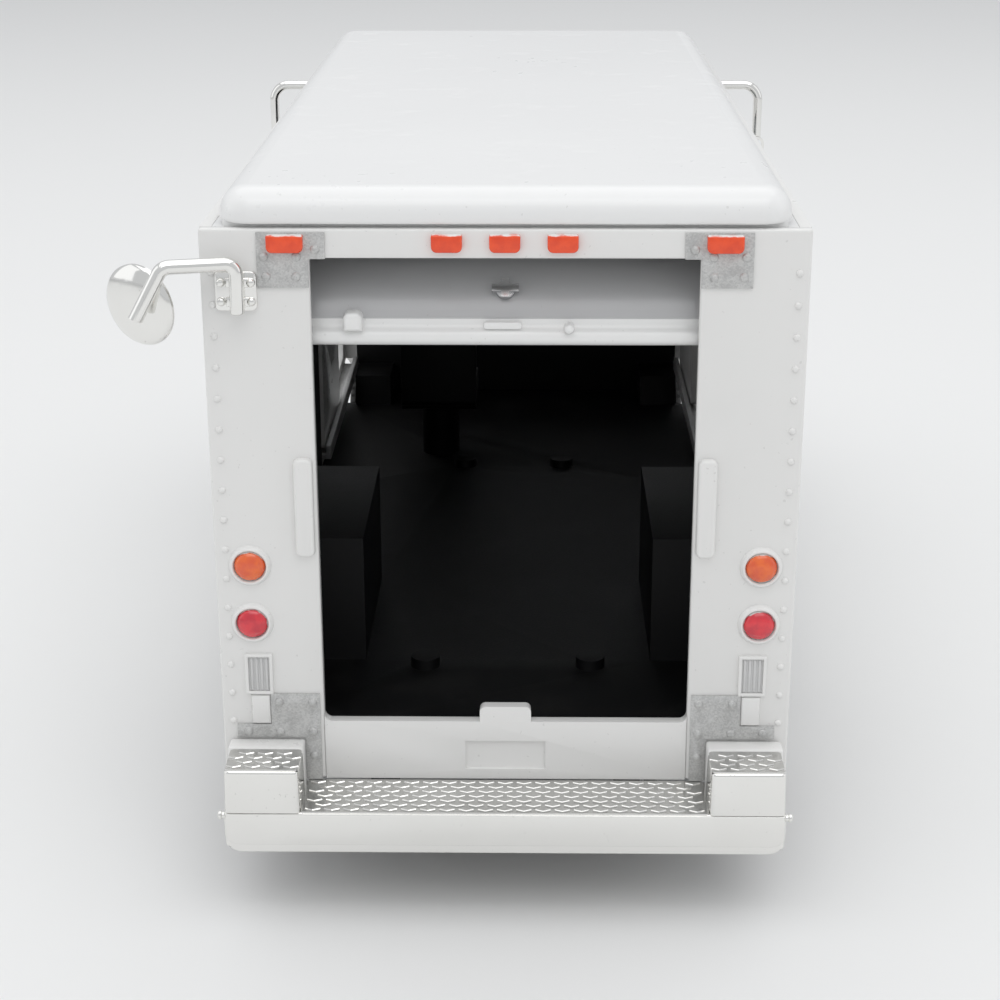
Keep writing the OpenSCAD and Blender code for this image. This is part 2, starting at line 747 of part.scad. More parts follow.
module dashboard() color(black) difference() {
    from_rear() {
        y1 = bulkhead_y;
        box([-inner_x + 4, y1 - 12, cowl_z - 12], [inner_x - 4, y1, cowl_z - 3]);
        box([-24, y1 - 10, cowl_z - 3.1], [-4, y1 - 1, cowl_z - 1]);
    }
    on_column() translate([0, 0, -2]) cylinder(h = 6, r = column_r + axle_fit);
}

// rim, spokes, hub and column
module steering_wheel() color(black) on_column() {
    translate([0, 0, -1.8]) cylinder(h = 9.8, r = column_r);
    translate([0, 0, 8]) rotate_extrude() translate([5.5, 0]) circle(0.6);
    for (a = [90, 210, 330]) rotate([0, 0, a]) translate([0, -0.4, 7.6]) cube([5.5, 0.8, 0.8]);
    translate([0, 0, 7.4]) cylinder(h = 1.2, r = 1.6);
}

module driver_seat() color(black) from_rear() {
    along_x(-21, -7) round_rect([120, floor_z + 10], [134, floor_z + 15], 1.5);
    along_x(-21, -7) round_rect([118.5, floor_z + 11], [122.5, floor_z + 34], 1.5);
    translate([-14, 127, floor_z]) cylinder(h = 11, r = 3.5);
}

// ---- cab doors ----

// place is the distance from the closed position, negative towards the rear
module cab_door_at(place) color(white) from_rear() translate([0, place, 0])
    along_x(door_in_x, door_in_x + cab_door_t) difference() {
        round_rect([doorway_y - door_lap, door_foot_z],
                   [doorway_y + doorway_w + door_lap, door_head_z], 1);
        cab_window();
        round_rect([doorway_y + 1.5, doorway_z + 20], [doorway_y + 3.3, doorway_z + 25], 0.8);
    }

module cab_window() round_rect(
    [doorway_y + (doorway_w - cab_window_w) / 2, cab_window_z],
    [doorway_y + (doorway_w + cab_window_w) / 2, cab_window_z + cab_window_h], 1.5);

module cab_glass_at(place) color(clear) from_rear() translate([0, place, 0])
    along_x(door_in_x + 0.3, door_in_x + 0.3 + pane_t) cab_window();

module cab_door_right() cab_door_at(0);
module cab_door_left() mirror([1, 0, 0]) cab_door_at(-door_travel);
module cab_door_glass_right() cab_glass_at(0);
module cab_door_glass_left() mirror([1, 0, 0]) cab_glass_at(-door_travel);

// lower and upper rails of both doors; the side panel is each rail's outer wall
module cab_door_tracks() color(silver) from_rear() each_side() {
    y0 = doorway_y - door_travel - door_lap - 1.5;
    y1 = doorway_y + doorway_w + door_lap + 0.6;
    in_x = door_in_x - gap - track_t;
    z0 = door_foot_z - gap;
    z1 = door_head_z + gap;
    box([in_x, y0, z0 - 1.1], [inner_x, y1, z0]);
    box([in_x, y0, z0 - 0.1], [in_x + track_t, y1, z0 + 1.5]);
    box([in_x, y0, z1], [inner_x, screen_y(z1 + 1.1) - 0.1, z1 + 1.1]);
    box([in_x, y0, z1 - 1.5], [in_x + track_t, screen_y(z1 + 1.1) - 0.1, z1 + 0.1]);
}

// y of the windscreen frame's inner face at height z
function screen_y(z) = body_l - (z - cowl_z) * tan(rake) - wall_t / cos(rake);

// ---- roll-up door ----

// path of the door seen from the side: upright, bend, level; r0 and r1 bound its radius
module door_path(r0, r1, foot_z, end_y) {
    if (foot_z < bend_z) rect([bend_y - r1, foot_z], [bend_y - r0, bend_z]);
    translate([bend_y, bend_z]) intersection() {
        difference() {
            circle(r1);
            circle(r0);
        }
        rect([-2 * r1, 0], [0, 2 * r1]);
    }
    rect([bend_y, bend_z + r0], [end_y, bend_z + r1]);
}

// side guides: a web beside the door and a flange inside it
module rear_door_tracks() color(silver) from_rear() each_side() {
    in_r = sheet_in_r - 0.9;
    out_r = bend_y - wall_t;
    along_x(door_half_w + gap, track_out_x)
        door_path(in_r - track_t, out_r, floor_z, run_end_y + 4);
    along_x(half_open + 0.4, door_half_w + gap)
        door_path(in_r - track_t, in_r, floor_z, run_end_y + 4);
}

// bottom bar with a lifting lip, a centre pill, a knob and a grip
module rear_door_bar() color(white) from_rear() {
    box([-door_half_w, bar_y, bend_z], [door_half_w, bar_y + bar_t, bend_z + bar_h]);
    along_y(bar_y - 0.35, bar_y + 0.1) round_rect([-2.7, bend_z + 2.2], [2.1, bend_z + 3.1], 0.4);
    translate([8, 0, bend_z + 2.4]) y_cyl(bar_y - 0.9, bar_y + 0.1, 0.65);
    along_y(bar_y - 0.8, bar_y + 0.6) round_rect([-20.2, bend_z + 2.2], [-17.8, bend_z + 4.6], 0.6);
}

// inner end of the sheet
module rear_door_top_bar() color(white) from_rear()
    box([-door_half_w, run_end_y, bend_z + bend_r - 0.5],
        [door_half_w, run_end_y + 1.8, bend_z + bend_r + 1]);

// flexible sheet, bent over into the roof
module rear_door_curtain() color(white) from_rear() along_x(-door_half_w, door_half_w)
    intersection() {
        door_path(sheet_in_r, sheet_out_r, bend_z, run_end_y);
        rect([0, bend_z + bar_h], [run_end_y, bend_z + 30]);
    }

// cross-shaped lock on the bend
module rear_door_lock() color(silver) from_rear() translate([0, bend_y, bend_z])
    rotate([-lock_angle, 0, 0]) translate([0, -sheet_out_r, 0]) {
        y_cyl(-0.6, -0.02, 1.2);
        box([-1.7, -1.1, -0.5], [1.7, -0.5, 0.5]);
        box([-0.5, -1.1, -1.3], [0.5, -0.5, 1.3]);
    }

// ---- wheels ----

module at_axle(y) from_rear() translate([0, y, axle_z]) children();

module axle() color(silver) x_cyl(-tyre_out_x + 0.9, tyre_out_x - 0.9, axle_r);

module axle_front() at_axle(front_axle_y) axle();
module axle_rear() at_axle(rear_axle_y) axle();

// a tyre from x0 to x1 as a turned profile with chamfered shoulders
module tyre(x0, x1) color(black) rotate([0, 90, 0]) rotate_extrude($fn = 96)
    polygon([
        [rim_d / 2, x0], [axle_z - 1.6, x0], [axle_z - 0.4, x0 + 0.7], [axle_z, x0 + 1.3],
        [axle_z, x1 - 1.3], [axle_z - 0.4, x1 - 0.7], [axle_z - 1.6, x1], [rim_d / 2, x1]
    ]);

// a rim from x0 to x1, dished on the outside, with a hub and hand holes
module rim(x0, x1, dish) color(chrome) difference() {
    union() {
        difference() {
            x_cyl(x0, x1, rim_d / 2);
            x_cyl(x1 - dish, x1 + 1, rim_d / 2 - 1.1);
        }
        x_cyl(x1 - dish - 0.5, x1 - 0.6, 2.4);
    }
    x_cyl(x0 - 1, x1 + 1, axle_r);
    for (a = [0 : 60 : 300]) rotate([a, 0, 0]) translate([0, rim_d / 2 - 3.2, 0])
        x_cyl(x1 - dish - 1, x1, 0.9);
}

module tyres_front() at_axle(front_axle_y) each_side() tyre(front_in_x, tyre_out_x);

module tyres_rear() at_axle(rear_axle_y) each_side() {
    tyre(dual_in_x, dual_in_x + dual_w);
    tyre(tyre_out_x - dual_w, tyre_out_x);
}

module rims_front() at_axle(front_axle_y) each_side()
    rim(front_in_x + rim_inset, tyre_out_x - rim_inset, 2);

module rims_rear() at_axle(rear_axle_y) each_side()
    rim(dual_in_x + rim_inset, tyre_out_x - rim_inset, 4);

// ---- drawing ----

side_panel_left();
side_panel_right();
rear_frame();
rear_sill();
roof_cap();
cab_front();
nose_shell();
rear_rivets();
upper_corner_plates();
lower_corner_plates();
id_lamps();
clearance_lamps();
amber_tail_lamps();
red_tail_lamps();
lamp_surrounds();
reverse_lamps();
grab_rails();
rear_bumper();
tread_plates();
step_blocks();
step_pads();
rear_mirror_bracket();
rear_mirror_arm();
rear_mirror_head();
front_mirror_arms();
front_mirror_heads();
mirror_glasses();
windscreen();
wipers();
grille();
headlamps();
headlamp_bezels();
front_amber_lamps();
front_bumper();
chassis_plate();
frame_rails();
fuel_tank();
exhaust();
driveline();
base_screws();
cargo_liner();
dashboard();
steering_wheel();
driver_seat();
cab_door_left();
cab_door_right();
cab_door_glass_left();
cab_door_glass_right();
cab_door_tracks();
rear_door_tracks();
rear_door_bar();
rear_door_top_bar();
rear_door_curtain();
rear_door_lock();
axle_front();
axle_rear();
rims_front();
rims_rear();
tyres_front();
tyres_rear();
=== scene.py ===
"""A die-cast walk-in delivery van: the looks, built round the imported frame."""
import json
from math import cos, pi, radians, sin

import bmesh
import bpy
from mathutils import Euler, Matrix, Vector


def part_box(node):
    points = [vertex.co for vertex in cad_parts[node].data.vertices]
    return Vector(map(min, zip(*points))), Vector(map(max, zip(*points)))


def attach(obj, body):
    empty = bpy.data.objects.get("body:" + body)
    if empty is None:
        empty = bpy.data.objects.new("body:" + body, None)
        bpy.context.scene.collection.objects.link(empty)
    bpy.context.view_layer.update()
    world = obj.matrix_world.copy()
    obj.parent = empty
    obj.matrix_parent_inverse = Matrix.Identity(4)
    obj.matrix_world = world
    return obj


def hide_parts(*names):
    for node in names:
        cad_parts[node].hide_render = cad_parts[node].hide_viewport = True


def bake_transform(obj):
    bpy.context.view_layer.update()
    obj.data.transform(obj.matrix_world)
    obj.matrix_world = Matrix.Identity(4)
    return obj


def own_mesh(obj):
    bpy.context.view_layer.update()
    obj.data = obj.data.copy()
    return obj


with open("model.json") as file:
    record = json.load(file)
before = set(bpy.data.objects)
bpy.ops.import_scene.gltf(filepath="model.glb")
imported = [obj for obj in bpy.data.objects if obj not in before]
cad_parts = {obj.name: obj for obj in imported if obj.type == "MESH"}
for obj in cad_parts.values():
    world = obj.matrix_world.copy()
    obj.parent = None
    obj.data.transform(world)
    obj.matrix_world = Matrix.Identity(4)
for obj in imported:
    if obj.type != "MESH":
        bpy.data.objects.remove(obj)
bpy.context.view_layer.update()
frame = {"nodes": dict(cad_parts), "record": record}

MM = 0.001
nodes = frame["nodes"]

# ---- Studio ----
# The van stands on a sheet of pale paper in a product tent: a wide panel overhead, one
# behind the camera, one at each side, and white cloth all round.  The camera looks down
# on it from behind.
rear_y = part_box("rear_frame")[0].y
camera_data = bpy.data.cameras.new("camera")
camera_data.sensor_width = 36
camera_data.lens = 72.43
camera_data.clip_start = 0.01
camera = bpy.data.objects.new("camera", camera_data)
bpy.context.scene.collection.objects.link(camera)
camera.location = (3.27 * MM, rear_y - 241.43 * MM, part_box("rear_frame")[0].z + 126.11 * MM)
camera_turn = Euler((radians(90 - 19.69), 0, radians(0.93))).to_matrix()
camera_roll = Matrix.Rotation(radians(-0.12), 3, "Z")
camera.rotation_euler = (camera_turn @ camera_roll).to_euler()
bpy.context.scene.camera = camera
bpy.context.scene.view_settings.view_transform = "Standard"

panels = (("overhead_panel", (0, 0.05, 0.9), 1.3, 1.3, 3.8),
          ("camera_panel", (0.1, -0.75, 1.05), 1.1, 0.6, 2.5),
          ("left_panel", (-1.0, -0.1, 0.5), 0.8, 0.9, 1.1),
          ("right_panel", (1.0, -0.1, 0.5), 0.8, 0.9, 0.9))
for name, place, width, height, watts in panels:
    light = bpy.data.lights.new(name, "AREA")
    light.shape = "RECTANGLE"
    light.size = width
    light.size_y = height
    light.energy = watts
    panel = bpy.data.objects.new(name, light)
    bpy.context.scene.collection.objects.link(panel)
    panel.location = place
    panel.rotation_euler = (Vector((0, 0, 0.03)) - Vector(place)).to_track_quat("-Z", "Y").to_euler()
tent = bpy.data.worlds.new("tent")
tent.use_nodes = True
tent.node_tree.nodes["Background"].inputs["Color"].default_value = (0.94, 0.955, 0.975, 1)
tent.node_tree.nodes["Background"].inputs["Strength"].default_value = 0.68
bpy.context.scene.world = tent


class Wire:
    """A socket in a material's node tree.  Arithmetic on it adds Math nodes."""

    def __init__(self, tree, socket=None):
        self.tree = tree
        self.socket = socket

    def node(self, kind, settings=None, stops=None, out=0, **inputs):
        """Adds a node: its settings first, a ramp's stops, then its inputs; gives an output.

        An input is named as on the node, with _ for a space, or i and its number."""
        new = self.tree.nodes.new(kind)
        for key, setting in (settings or {}).items():
            setattr(new, key, setting)
        for k, (place, shade) in enumerate(stops or ()):
            ramp = new.color_ramp.elements
            stop = ramp[k] if k < 2 else ramp.new(place)
            stop.position = place
            stop.color = (*shade, 1) if isinstance(shade, tuple) else (shade, shade, shade, 1)
        for key, value in inputs.items():
            socket = new.inputs[int(key[1:]) if key[1:].isdigit() else key.replace("_", " ")]
            if isinstance(value, Wire):
                self.tree.links.new(value.socket, socket)
            elif socket.type == "RGBA":
                socket.default_value = (*value, 1)
            else:
                socket.default_value = value
        return Wire(self.tree, new.outputs[out])

    def sum(self, how, a, b):
        return self.node("ShaderNodeMath", {"operation": how}, i0=a, i1=b)

    def __add__(self, other):
        return self.sum("ADD", self, other)

    def __sub__(self, other):
        return self.sum("SUBTRACT", self, other)

    def __rsub__(self, other):
        return self.sum("SUBTRACT", other, self)

    def __mul__(self, other):
        return self.sum("MULTIPLY", self, other)

    def __gt__(self, other):
        return self.sum("GREATER_THAN", self, other)

    def step(self, low, high):
        """0 below low, 1 above high and smooth between them."""
        return self.node("ShaderNodeMapRange", {"interpolation_type": "SMOOTHSTEP"},
                         Value=self, From_Min=low, From_Max=high)

    def speckle(self, place, scale, detail=3.0):
        """Noise of so many grains to the metre, from 0 to 1."""
        return self.node("ShaderNodeTexNoise", Vector=place, Scale=scale, Detail=detail)

    def blend(self, factor, a, b):
        """A colour between a and b."""
        return self.node("ShaderNodeMix", {"data_type": "RGBA"}, out=2, i0=factor, i6=a, i7=b)

    def relief(self, height, depth_mm, strength=1.0):
        """A normal from a height; depth_mm is how far a height of 1 stands out."""
        return self.node("ShaderNodeBump", Strength=strength, Distance=depth_mm * MM, Height=height)


def new_finish(name, **constants):
    """A material, the start of its expressions, and a call that feeds its shader."""
    material = bpy.data.materials.new(name)
    material.use_nodes = True
    tree = material.node_tree
    shader = tree.nodes["Principled BSDF"]
    for key, value in constants.items():
        shader.inputs[key.replace("_", " ")].default_value = value
    start = Wire(tree)
    place = start.node("ShaderNodeTexCoord", out=3)

    def feed(**wires):
        for key, wire in wires.items():
            tree.links.new(wire.socket, shader.inputs[key.replace("_", " ")])
    return material, start, place, feed


def deselect():
    for o in bpy.context.selected_objects:
        o.select_set(False)


deselect()
bpy.ops.mesh.primitive_plane_add(size=9)
paper = bpy.context.object
paper.name = "paper"
paper_white, n, place, feed = new_finish("paper_white", Specular_IOR_Level=0.2)
fibre = n.speckle(place, 260, 6)
feed(Base_Color=n.blend(n.speckle(place, 1.5), (0.80, 0.80, 0.795), (0.825, 0.825, 0.82)),
     Roughness=fibre * 0.2 + 0.65,
     Normal=n.relief(fibre, 0.02))
paper.data.materials.append(paper_white)


# ---- Body panels ----
# The sides, rear frame, sill panel and cab front are thin zinc castings.  They are sprayed
# with a gloss white enamel, which pulls back from the edges, rounds every corner a little
# and traps a few specks of dust.
def enamel_finish(name, low, high):
    """Gloss enamel between two whites: a slight orange peel and a little dust."""
    material, n, place, feed = new_finish(name, Coat_Roughness=0.06, Coat_IOR=1.45)
    cloud = n.speckle(place, 22, 2)
    peel = n.speckle(place, 520, 2)
    dust = n.speckle(place, 1700, 1) > 0.765
    grime = n.node("ShaderNodeTexNoise", Vector=place, Scale=140.0, Detail=4.0).step(0.55, 0.8)
    white = n.blend(cloud, low, high)
    feed(Base_Color=n.blend(dust * 0.2 + grime * 0.025, white, (0.33, 0.32, 0.30)),
         Roughness=peel * 0.12 + cloud * 0.1 + 0.2,
         Coat_Weight=0.42 - grime * 0.2,
         Normal=n.relief(peel, 0.006))
    return material


enamel = enamel_finish("white_enamel", (0.775, 0.77, 0.755), (0.80, 0.795, 0.78))
body_of_node = {n: b for b, ns in frame["record"]["behaviour"]["bodies"].items() for n in ns}


def settle(piece, name, finish, node=None, body="van", angle=32, rides=True):
    """Ends a piece: its place goes into its mesh, then its finish, body, slot and CAD node."""
    deselect()
    piece.select_set(True)
    bpy.context.view_layer.objects.active = piece
    bpy.ops.object.transform_apply(location=True, rotation=True, scale=True)
    bpy.ops.object.shade_smooth_by_angle(angle=radians(angle))
    piece.name = name
    piece.data.name = name
    piece.data.materials.clear()
    piece.data.materials.append(finish)
    if rides:
        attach(piece, body_of_node[node] if node else body)
    if node:
        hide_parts(node)
    return piece


def eased(node, edge, finish, segments=3):
    """A copy of a CAD node, its edges rounded by edge millimetres, that stands for it."""
    deselect()
    piece = nodes[node].copy()
    piece.data = nodes[node].data.copy()
    for key in list(piece.keys()):
        del piece[key]
    piece.parent = None
    bpy.context.scene.collection.objects.link(piece)
    piece.select_set(True)
    bpy.context.view_layer.objects.active = piece
    bpy.ops.object.mode_set(mode="EDIT")
    bpy.ops.mesh.select_all(action="SELECT")
    bpy.ops.mesh.remove_doubles(threshold=2e-6)
    bpy.ops.mesh.dissolve_limited(angle_limit=radians(1.5))
    bpy.ops.object.mode_set(mode="OBJECT")
    modify(piece, "BEVEL", width=edge * MM, segments=segments, limit_method="ANGLE",
           angle_limit=radians(28))
    return settle(piece, node + "_eased", finish, node)


def modify(piece, kind, **settings):
    """Adds a modifier and applies it."""
    deselect()
    piece.select_set(True)
    bpy.context.view_layer.objects.active = piece
    modifier = piece.modifiers.new("work", kind)
    for key, value in settings.items():
        setattr(modifier, key, value)
    bpy.ops.object.modifier_apply(modifier="work")


for panel, edge in (("side_panel_left", 0.3), ("side_panel_right", 0.3), ("rear_frame", 0.35),
                    ("rear_sill", 0.2), ("cab_front", 0.3)):
    eased(panel, edge, enamel)


# ---- Roof cap ----
# One white moulding with a full round edge, pressed down over a flange between the sides.
# The thin shadow under it is the gap over the body's rim.
def at(x, y, z):
    """A point from millimetres, with y counted forward from the body's rear face."""
    return Vector((x * MM, rear_y + y * MM, z * MM))


def block(low, high):
    """A box between two corners in millimetres."""
    low, high = [[end(pair) for pair in zip(low, high)] for end in (min, max)]
    deselect()
    bpy.ops.mesh.primitive_cube_add(size=1, location=(at(*low) + at(*high)) / 2)
    piece = bpy.context.object
    piece.scale = at(*high) - at(*low)
    bpy.ops.object.transform_apply(location=True, rotation=False, scale=True)
    return piece


def pick(piece, kind, test):
    """In edit mode, selects what passes a test of its middle (x, y, z in mm) and direction."""
    bpy.ops.mesh.select_mode(type=kind)
    bpy.ops.mesh.select_all(action="DESELECT")
    work = bmesh.from_edit_mesh(piece.data)
    for item in work.faces if kind == "FACE" else work.edges:
        if kind == "FACE":
            middle = item.calc_center_median()
            way = item.normal
        else:
            middle = (item.verts[0].co + item.verts[1].co) / 2
            way = (item.verts[1].co - item.verts[0].co).normalized()
        place = (middle - at(0, 0, 0)) / MM
        if test(place, way):
            item.select_set(True)
    work.select_flush_mode()
    bmesh.update_edit_mesh(piece.data)


def round_off(piece, radius, segments, test):
    """Rounds the edges that pass a test."""
    deselect()
    piece.select_set(True)
    bpy.context.view_layer.objects.active = piece
    bpy.ops.object.mode_set(mode="EDIT")
    pick(piece, "EDGE", test)
    bpy.ops.mesh.bevel(offset=radius * MM, segments=segments, affect="EDGES")
    bpy.ops.object.mode_set(mode="OBJECT")


def join(*pieces):
    """Joins pieces into the first."""
    deselect()
    for piece in pieces:
        piece.select_set(True)
    bpy.context.view_layer.objects.active = pieces[0]
    bpy.ops.object.join()
    return pieces[0]


roof_white = enamel_finish("roof_white", (0.80, 0.80, 0.795), (0.825, 0.825, 0.82))
roof = block((-35.3, 0, 91.7), (35.3, 167.4, 96))
round_off(roof, 4.2, 8, lambda p, way: abs(way.z) > 0.9)
round_off(roof, 3.5, 8, lambda p, way: p.z > 95.9)
round_off(roof, 0.35, 3, lambda p, way: p.z < 91.75)
neck = block((-34.6, 1.5, 91.15), (34.6, 165.4, 91.9))
flange = block((-35.95, 1.55, 90.2), (35.95, 164.4, 91.16))
settle(join(roof, neck, flange), "roof_moulding", roof_white, "roof_cap")


# ---- Nose ----
# The hood, wings and front panel are one hollow casting in the body's enamel.  The hood
# lid stands up a little from it, and slopes down to the front with it.
eased("nose_shell", 0.45, enamel)
hood = block((-26, 172, 49.6), (26, 183.5, 50.3))
round_off(hood, 3, 6, lambda p, way: abs(way.z) > 0.9)
round_off(hood, 0.2, 3, lambda p, way: p.z > 50.2)
for v in hood.data.vertices:
    v.co.z -= 0.272 * (v.co.y - rear_y - 170 * MM)
settle(hood, "hood_panel", enamel, body="van")


# ---- Rivets ----
# Round-headed rivets, cast into the panels and painted with them: two columns on the rear
# frame, and rows along the upper and lower edges and the seams of both sides.
def turned(profile, centre, way, steps=24):
    """A shape turned about an axis through centre; profile is (radius, height) in mm."""
    deselect()
    bpy.ops.mesh.primitive_plane_add(size=MM)
    piece = bpy.context.object
    bpy.ops.object.mode_set(mode="EDIT")
    bpy.ops.mesh.select_mode(type="VERT")
    bpy.ops.mesh.merge(type="CENTER")
    radius, height = profile[0]
    bpy.ops.transform.translate(value=(radius * MM, 0, height * MM))
    for r, h in profile[1:]:
        step = ((r - radius) * MM, 0, (h - height) * MM)
        bpy.ops.mesh.extrude_vertices_move(TRANSFORM_OT_translate={"value": step})
        radius, height = r, h
    bpy.ops.mesh.select_all(action="SELECT")
    bpy.ops.mesh.spin(steps=steps, angle=2 * pi, center=(0, 0, 0), axis=(0, 0, 1))
    bpy.ops.mesh.select_all(action="SELECT")
    bpy.ops.mesh.remove_doubles(threshold=1e-6)
    bpy.ops.mesh.normals_make_consistent(inside=False)
    bpy.ops.object.mode_set(mode="OBJECT")
    piece.rotation_euler = Vector(way).to_track_quat("Z", "Y").to_euler()
    piece.location = centre
    bpy.ops.object.transform_apply(location=True, rotation=True, scale=False)
    return piece


def copies(piece, shifts):
    """Copies of a piece at shifts in millimetres, joined; the first shape goes."""
    twins = []
    for shift in shifts:
        twin = piece.copy()
        twin.data = piece.data.copy()
        twin.location = Vector(shift) * MM
        bpy.context.scene.collection.objects.link(twin)
        twins.append(twin)
    bpy.data.objects.remove(piece)
    whole = join(*twins)
    bpy.ops.object.transform_apply(location=True, rotation=True, scale=True)
    return whole


rivet_pitch = 4.05
rear_axle_y = 45
front_axle_y = 173
rivet_head = [(0, 0.34), (0.18, 0.32), (0.34, 0.24), (0.45, 0.1), (0.48, -0.05), (0, -0.05)]
rivet = turned(rivet_head, at(0, 0, 0), (0, -1, 0), 12)
columns = copies(rivet, [(s * 36.1, 0, 25 + rivet_pitch * i) for s in (-1, 1) for i in range(16)])
settle(columns, "rear_rivet_heads", enamel, "rear_rivets")

side_rivets = []
for s, name in ((-1, "left"), (1, "right")):
    rivet = turned([(0, 0.22), (0.2, 0.2), (0.36, 0.1), (0.4, -0.05), (0, -0.05)],
                   at(s * 37.5, 0, 0), (s, 0, 0), 10)
    ys = [3.5 + rivet_pitch * i for i in range(39)]
    rows = [(0, y, 89.6) for y in ys]
    rows += [(0, y, 19) for y in ys if abs(y - rear_axle_y) > 17 and y < 154]
    rows += [(0, y, 25 + rivet_pitch * i) for y in (3.5, 131.9) for i in range(16)]
    rows += [(0, y, 33 + rivet_pitch * i) for y in (36, 68.4, 100.8) for i in range(14)]
    settle(copies(rivet, rows), "side_rivet_heads_" + name, enamel, body="van")


# ---- Belt mouldings ----
# Shallow half-round ribs along each side of the body, like those that stiffen a full-size
# van's sheet.  They are cast in one with the zinc panels and sprayed with them.
for s, name in ((-1, "left"), (1, "right")):
    ribs = []
    for z in (30.2, 86.6):
        rib = block((s * 37.35, 5.5, z - 0.55), (s * 37.95, 130, z + 0.55))
        round_off(rib, 0.4, 3, lambda p, way: abs(p.x) > 37.9 or abs(p.z - z) > 0.5)
        ribs.append(rib)
    settle(join(*ribs), "belt_mouldings_" + name, enamel, body="van")


# ---- Corner plates ----
# Thin steel plates riveted over the corners of the opening, in silver paint with coarse
# flakes.  Their heads stand up like the body's.
silver, n, place, feed = new_finish("silver_paint", Coat_Roughness=0.2)
flake = n.node("ShaderNodeTexVoronoi", Vector=place, Scale=5200.0, out=1)
flake_light = flake.node("ShaderNodeSeparateColor", Color=flake)
mottle = n.speckle(place, 420, 5)
feed(Base_Color=n.blend((mottle * 0.7 + flake_light * 0.3).step(0.25, 0.75),
                        (0.46, 0.46, 0.455), (0.62, 0.62, 0.61)),
     Metallic=mottle * 0.2 + 0.3,
     Roughness=mottle * 0.3 + 0.25,
     Coat_Weight=mottle * 0.3,
     Normal=n.relief(mottle * 0.7 + flake_light * 0.3, 0.05))
plate_rivet = [(0, 0.72), (0.22, 0.69), (0.44, 0.56), (0.58, 0.36), (0.62, 0.2), (0, 0.2)]
for node, places in (
        ("upper_corner_plates", [(23.2, 88.7), (25.5, 87.8), (29.5, 87.8), (25.6, 85.3), (29.3, 85.3)]),
        ("lower_corner_plates", [(25.5, 27.8), (29.9, 27.8), (25.5, 23.5), (29.9, 23.5),
                                 (34.1, 23.6), (25.5, 20)])):
    eased(node, 0.1, silver, 2)
    head = turned(plate_rivet, at(0, 0, 0), (0, -1, 0), 16)
    heads = copies(head, [(s * x, 0, z) for s in (-1, 1) for x, z in places])
    settle(heads, node + "_rivets", silver, body="van")


# ---- Header lamps ----
# Five blocks cast on the body.  A brush of orange covers the face of each and stops short
# of its top, where the white shows.
def dabbed(name, paint, dark, edge_mm, where, shine=0.7):
    """Glossy lamp paint with white left where where(n, place) is below 0."""
    material, n, place, feed = new_finish(name, Coat_Roughness=0.03)
    cloud = n.speckle(place, 700, 3)
    wobble = n.speckle(place, 900, 2) * 0.4 - 0.2
    covered = (where(n, place) + wobble).step(-edge_mm, edge_mm)
    feed(Base_Color=n.blend(covered, (0.79, 0.785, 0.77), n.blend(cloud.step(0.3, 0.7), dark, paint)),
         Roughness=cloud * 0.12 + 0.12,
         Coat_Weight=covered * shine,
         Normal=n.relief(cloud, 0.03))
    return material


header_paint_top = 90.55


def face_of_block(n, place):
    """Millimetres below the paint's upper edge on the header lamps."""
    height = n.node("ShaderNodeSeparateXYZ", Vector=place, out=2)
    return header_paint_top - height * 1000


header_orange = dabbed("header_orange", (0.88, 0.085, 0.018), (0.76, 0.06, 0.014), 0.08,
                       face_of_block, 0.35)
for node, xs, y0, wide in (("id_lamps", (-7.1, 0, 7.1), 0, 3.8),
                           ("clearance_lamps", (-26.85, 26.85), -0.3, 4.5)):
    lamp = block((-wide / 2, y0 - 1, 88.4), (wide / 2, y0 + 0.05, 90.6))
    round_off(lamp, 0.7, 5, lambda p, way: abs(way.y) > 0.9 and p.z < 89)
    round_off(lamp, 0.25, 4, lambda p, way: p.y < y0 - 0.95 or abs(way.y) > 0.9 and p.z > 90)
    settle(copies(lamp, [(x, 0, 0) for x in xs]), node + "_blocks", header_orange, node)


# ---- Tail lamps ----
# Round white bosses with a raised ring, each with a thick drop of clear amber or red laid
# in it by hand, so that the edge of the drop wanders and the ring shows outside it.
def drop(centres, reach, tilt):
    """Millimetres inside a drop's edge: an oval round each centre, stretched along tilt."""
    def where(n, place):
        parts = [n.node("ShaderNodeSeparateXYZ", Vector=place, out=k) for k in (0, 2)]
        nearest = None
        for x, z in centres:
            dx = parts[0] * 1000 - x
            dz = parts[1] * 1000 - z
            lean = tilt * (1 if x < 0 else -0.5)
            along = dx * cos(lean) - dz * sin(lean)
            across = dx * sin(lean) + dz * cos(lean)
            square = along * along * 0.93 + across * across * 1.1
            length = n.node("ShaderNodeMath", {"operation": "SQRT"}, i0=square)
            nearest = length if nearest is None else n.sum("MINIMUM", nearest, length)
        return reach - nearest
    return where


tail_lamp_x = 33
amber_z = 47.1
red_z = 39.1
lens_profile = [(0, 1.1), (0.5, 1.08), (1.0, 1.0), (1.45, 0.85), (1.8, 0.6), (2.0, 0.3),
                (2.05, 0.05), (2.05, -0.1), (0, -0.1)]
for node, z, paint, dark, tilt in (
        ("amber_tail_lamps", amber_z, (0.86, 0.16, 0.025), (0.74, 0.10, 0.03), 0.2),
        ("red_tail_lamps", red_z, (0.76, 0.035, 0.05), (0.56, 0.02, 0.04), 0.6)):
    lens = turned(lens_profile, at(0, 0, z), (0, -1, 0), 40)
    centres = [(-tail_lamp_x, z), (tail_lamp_x, z)]
    drops = dabbed(node + "_drop", paint, dark, 0.06, drop(centres, 1.98, tilt))
    lenses = copies(lens, [(-tail_lamp_x, 0, 0), (tail_lamp_x, 0, 0)])
    settle(lenses, node + "_lenses", drops, node, angle=50)

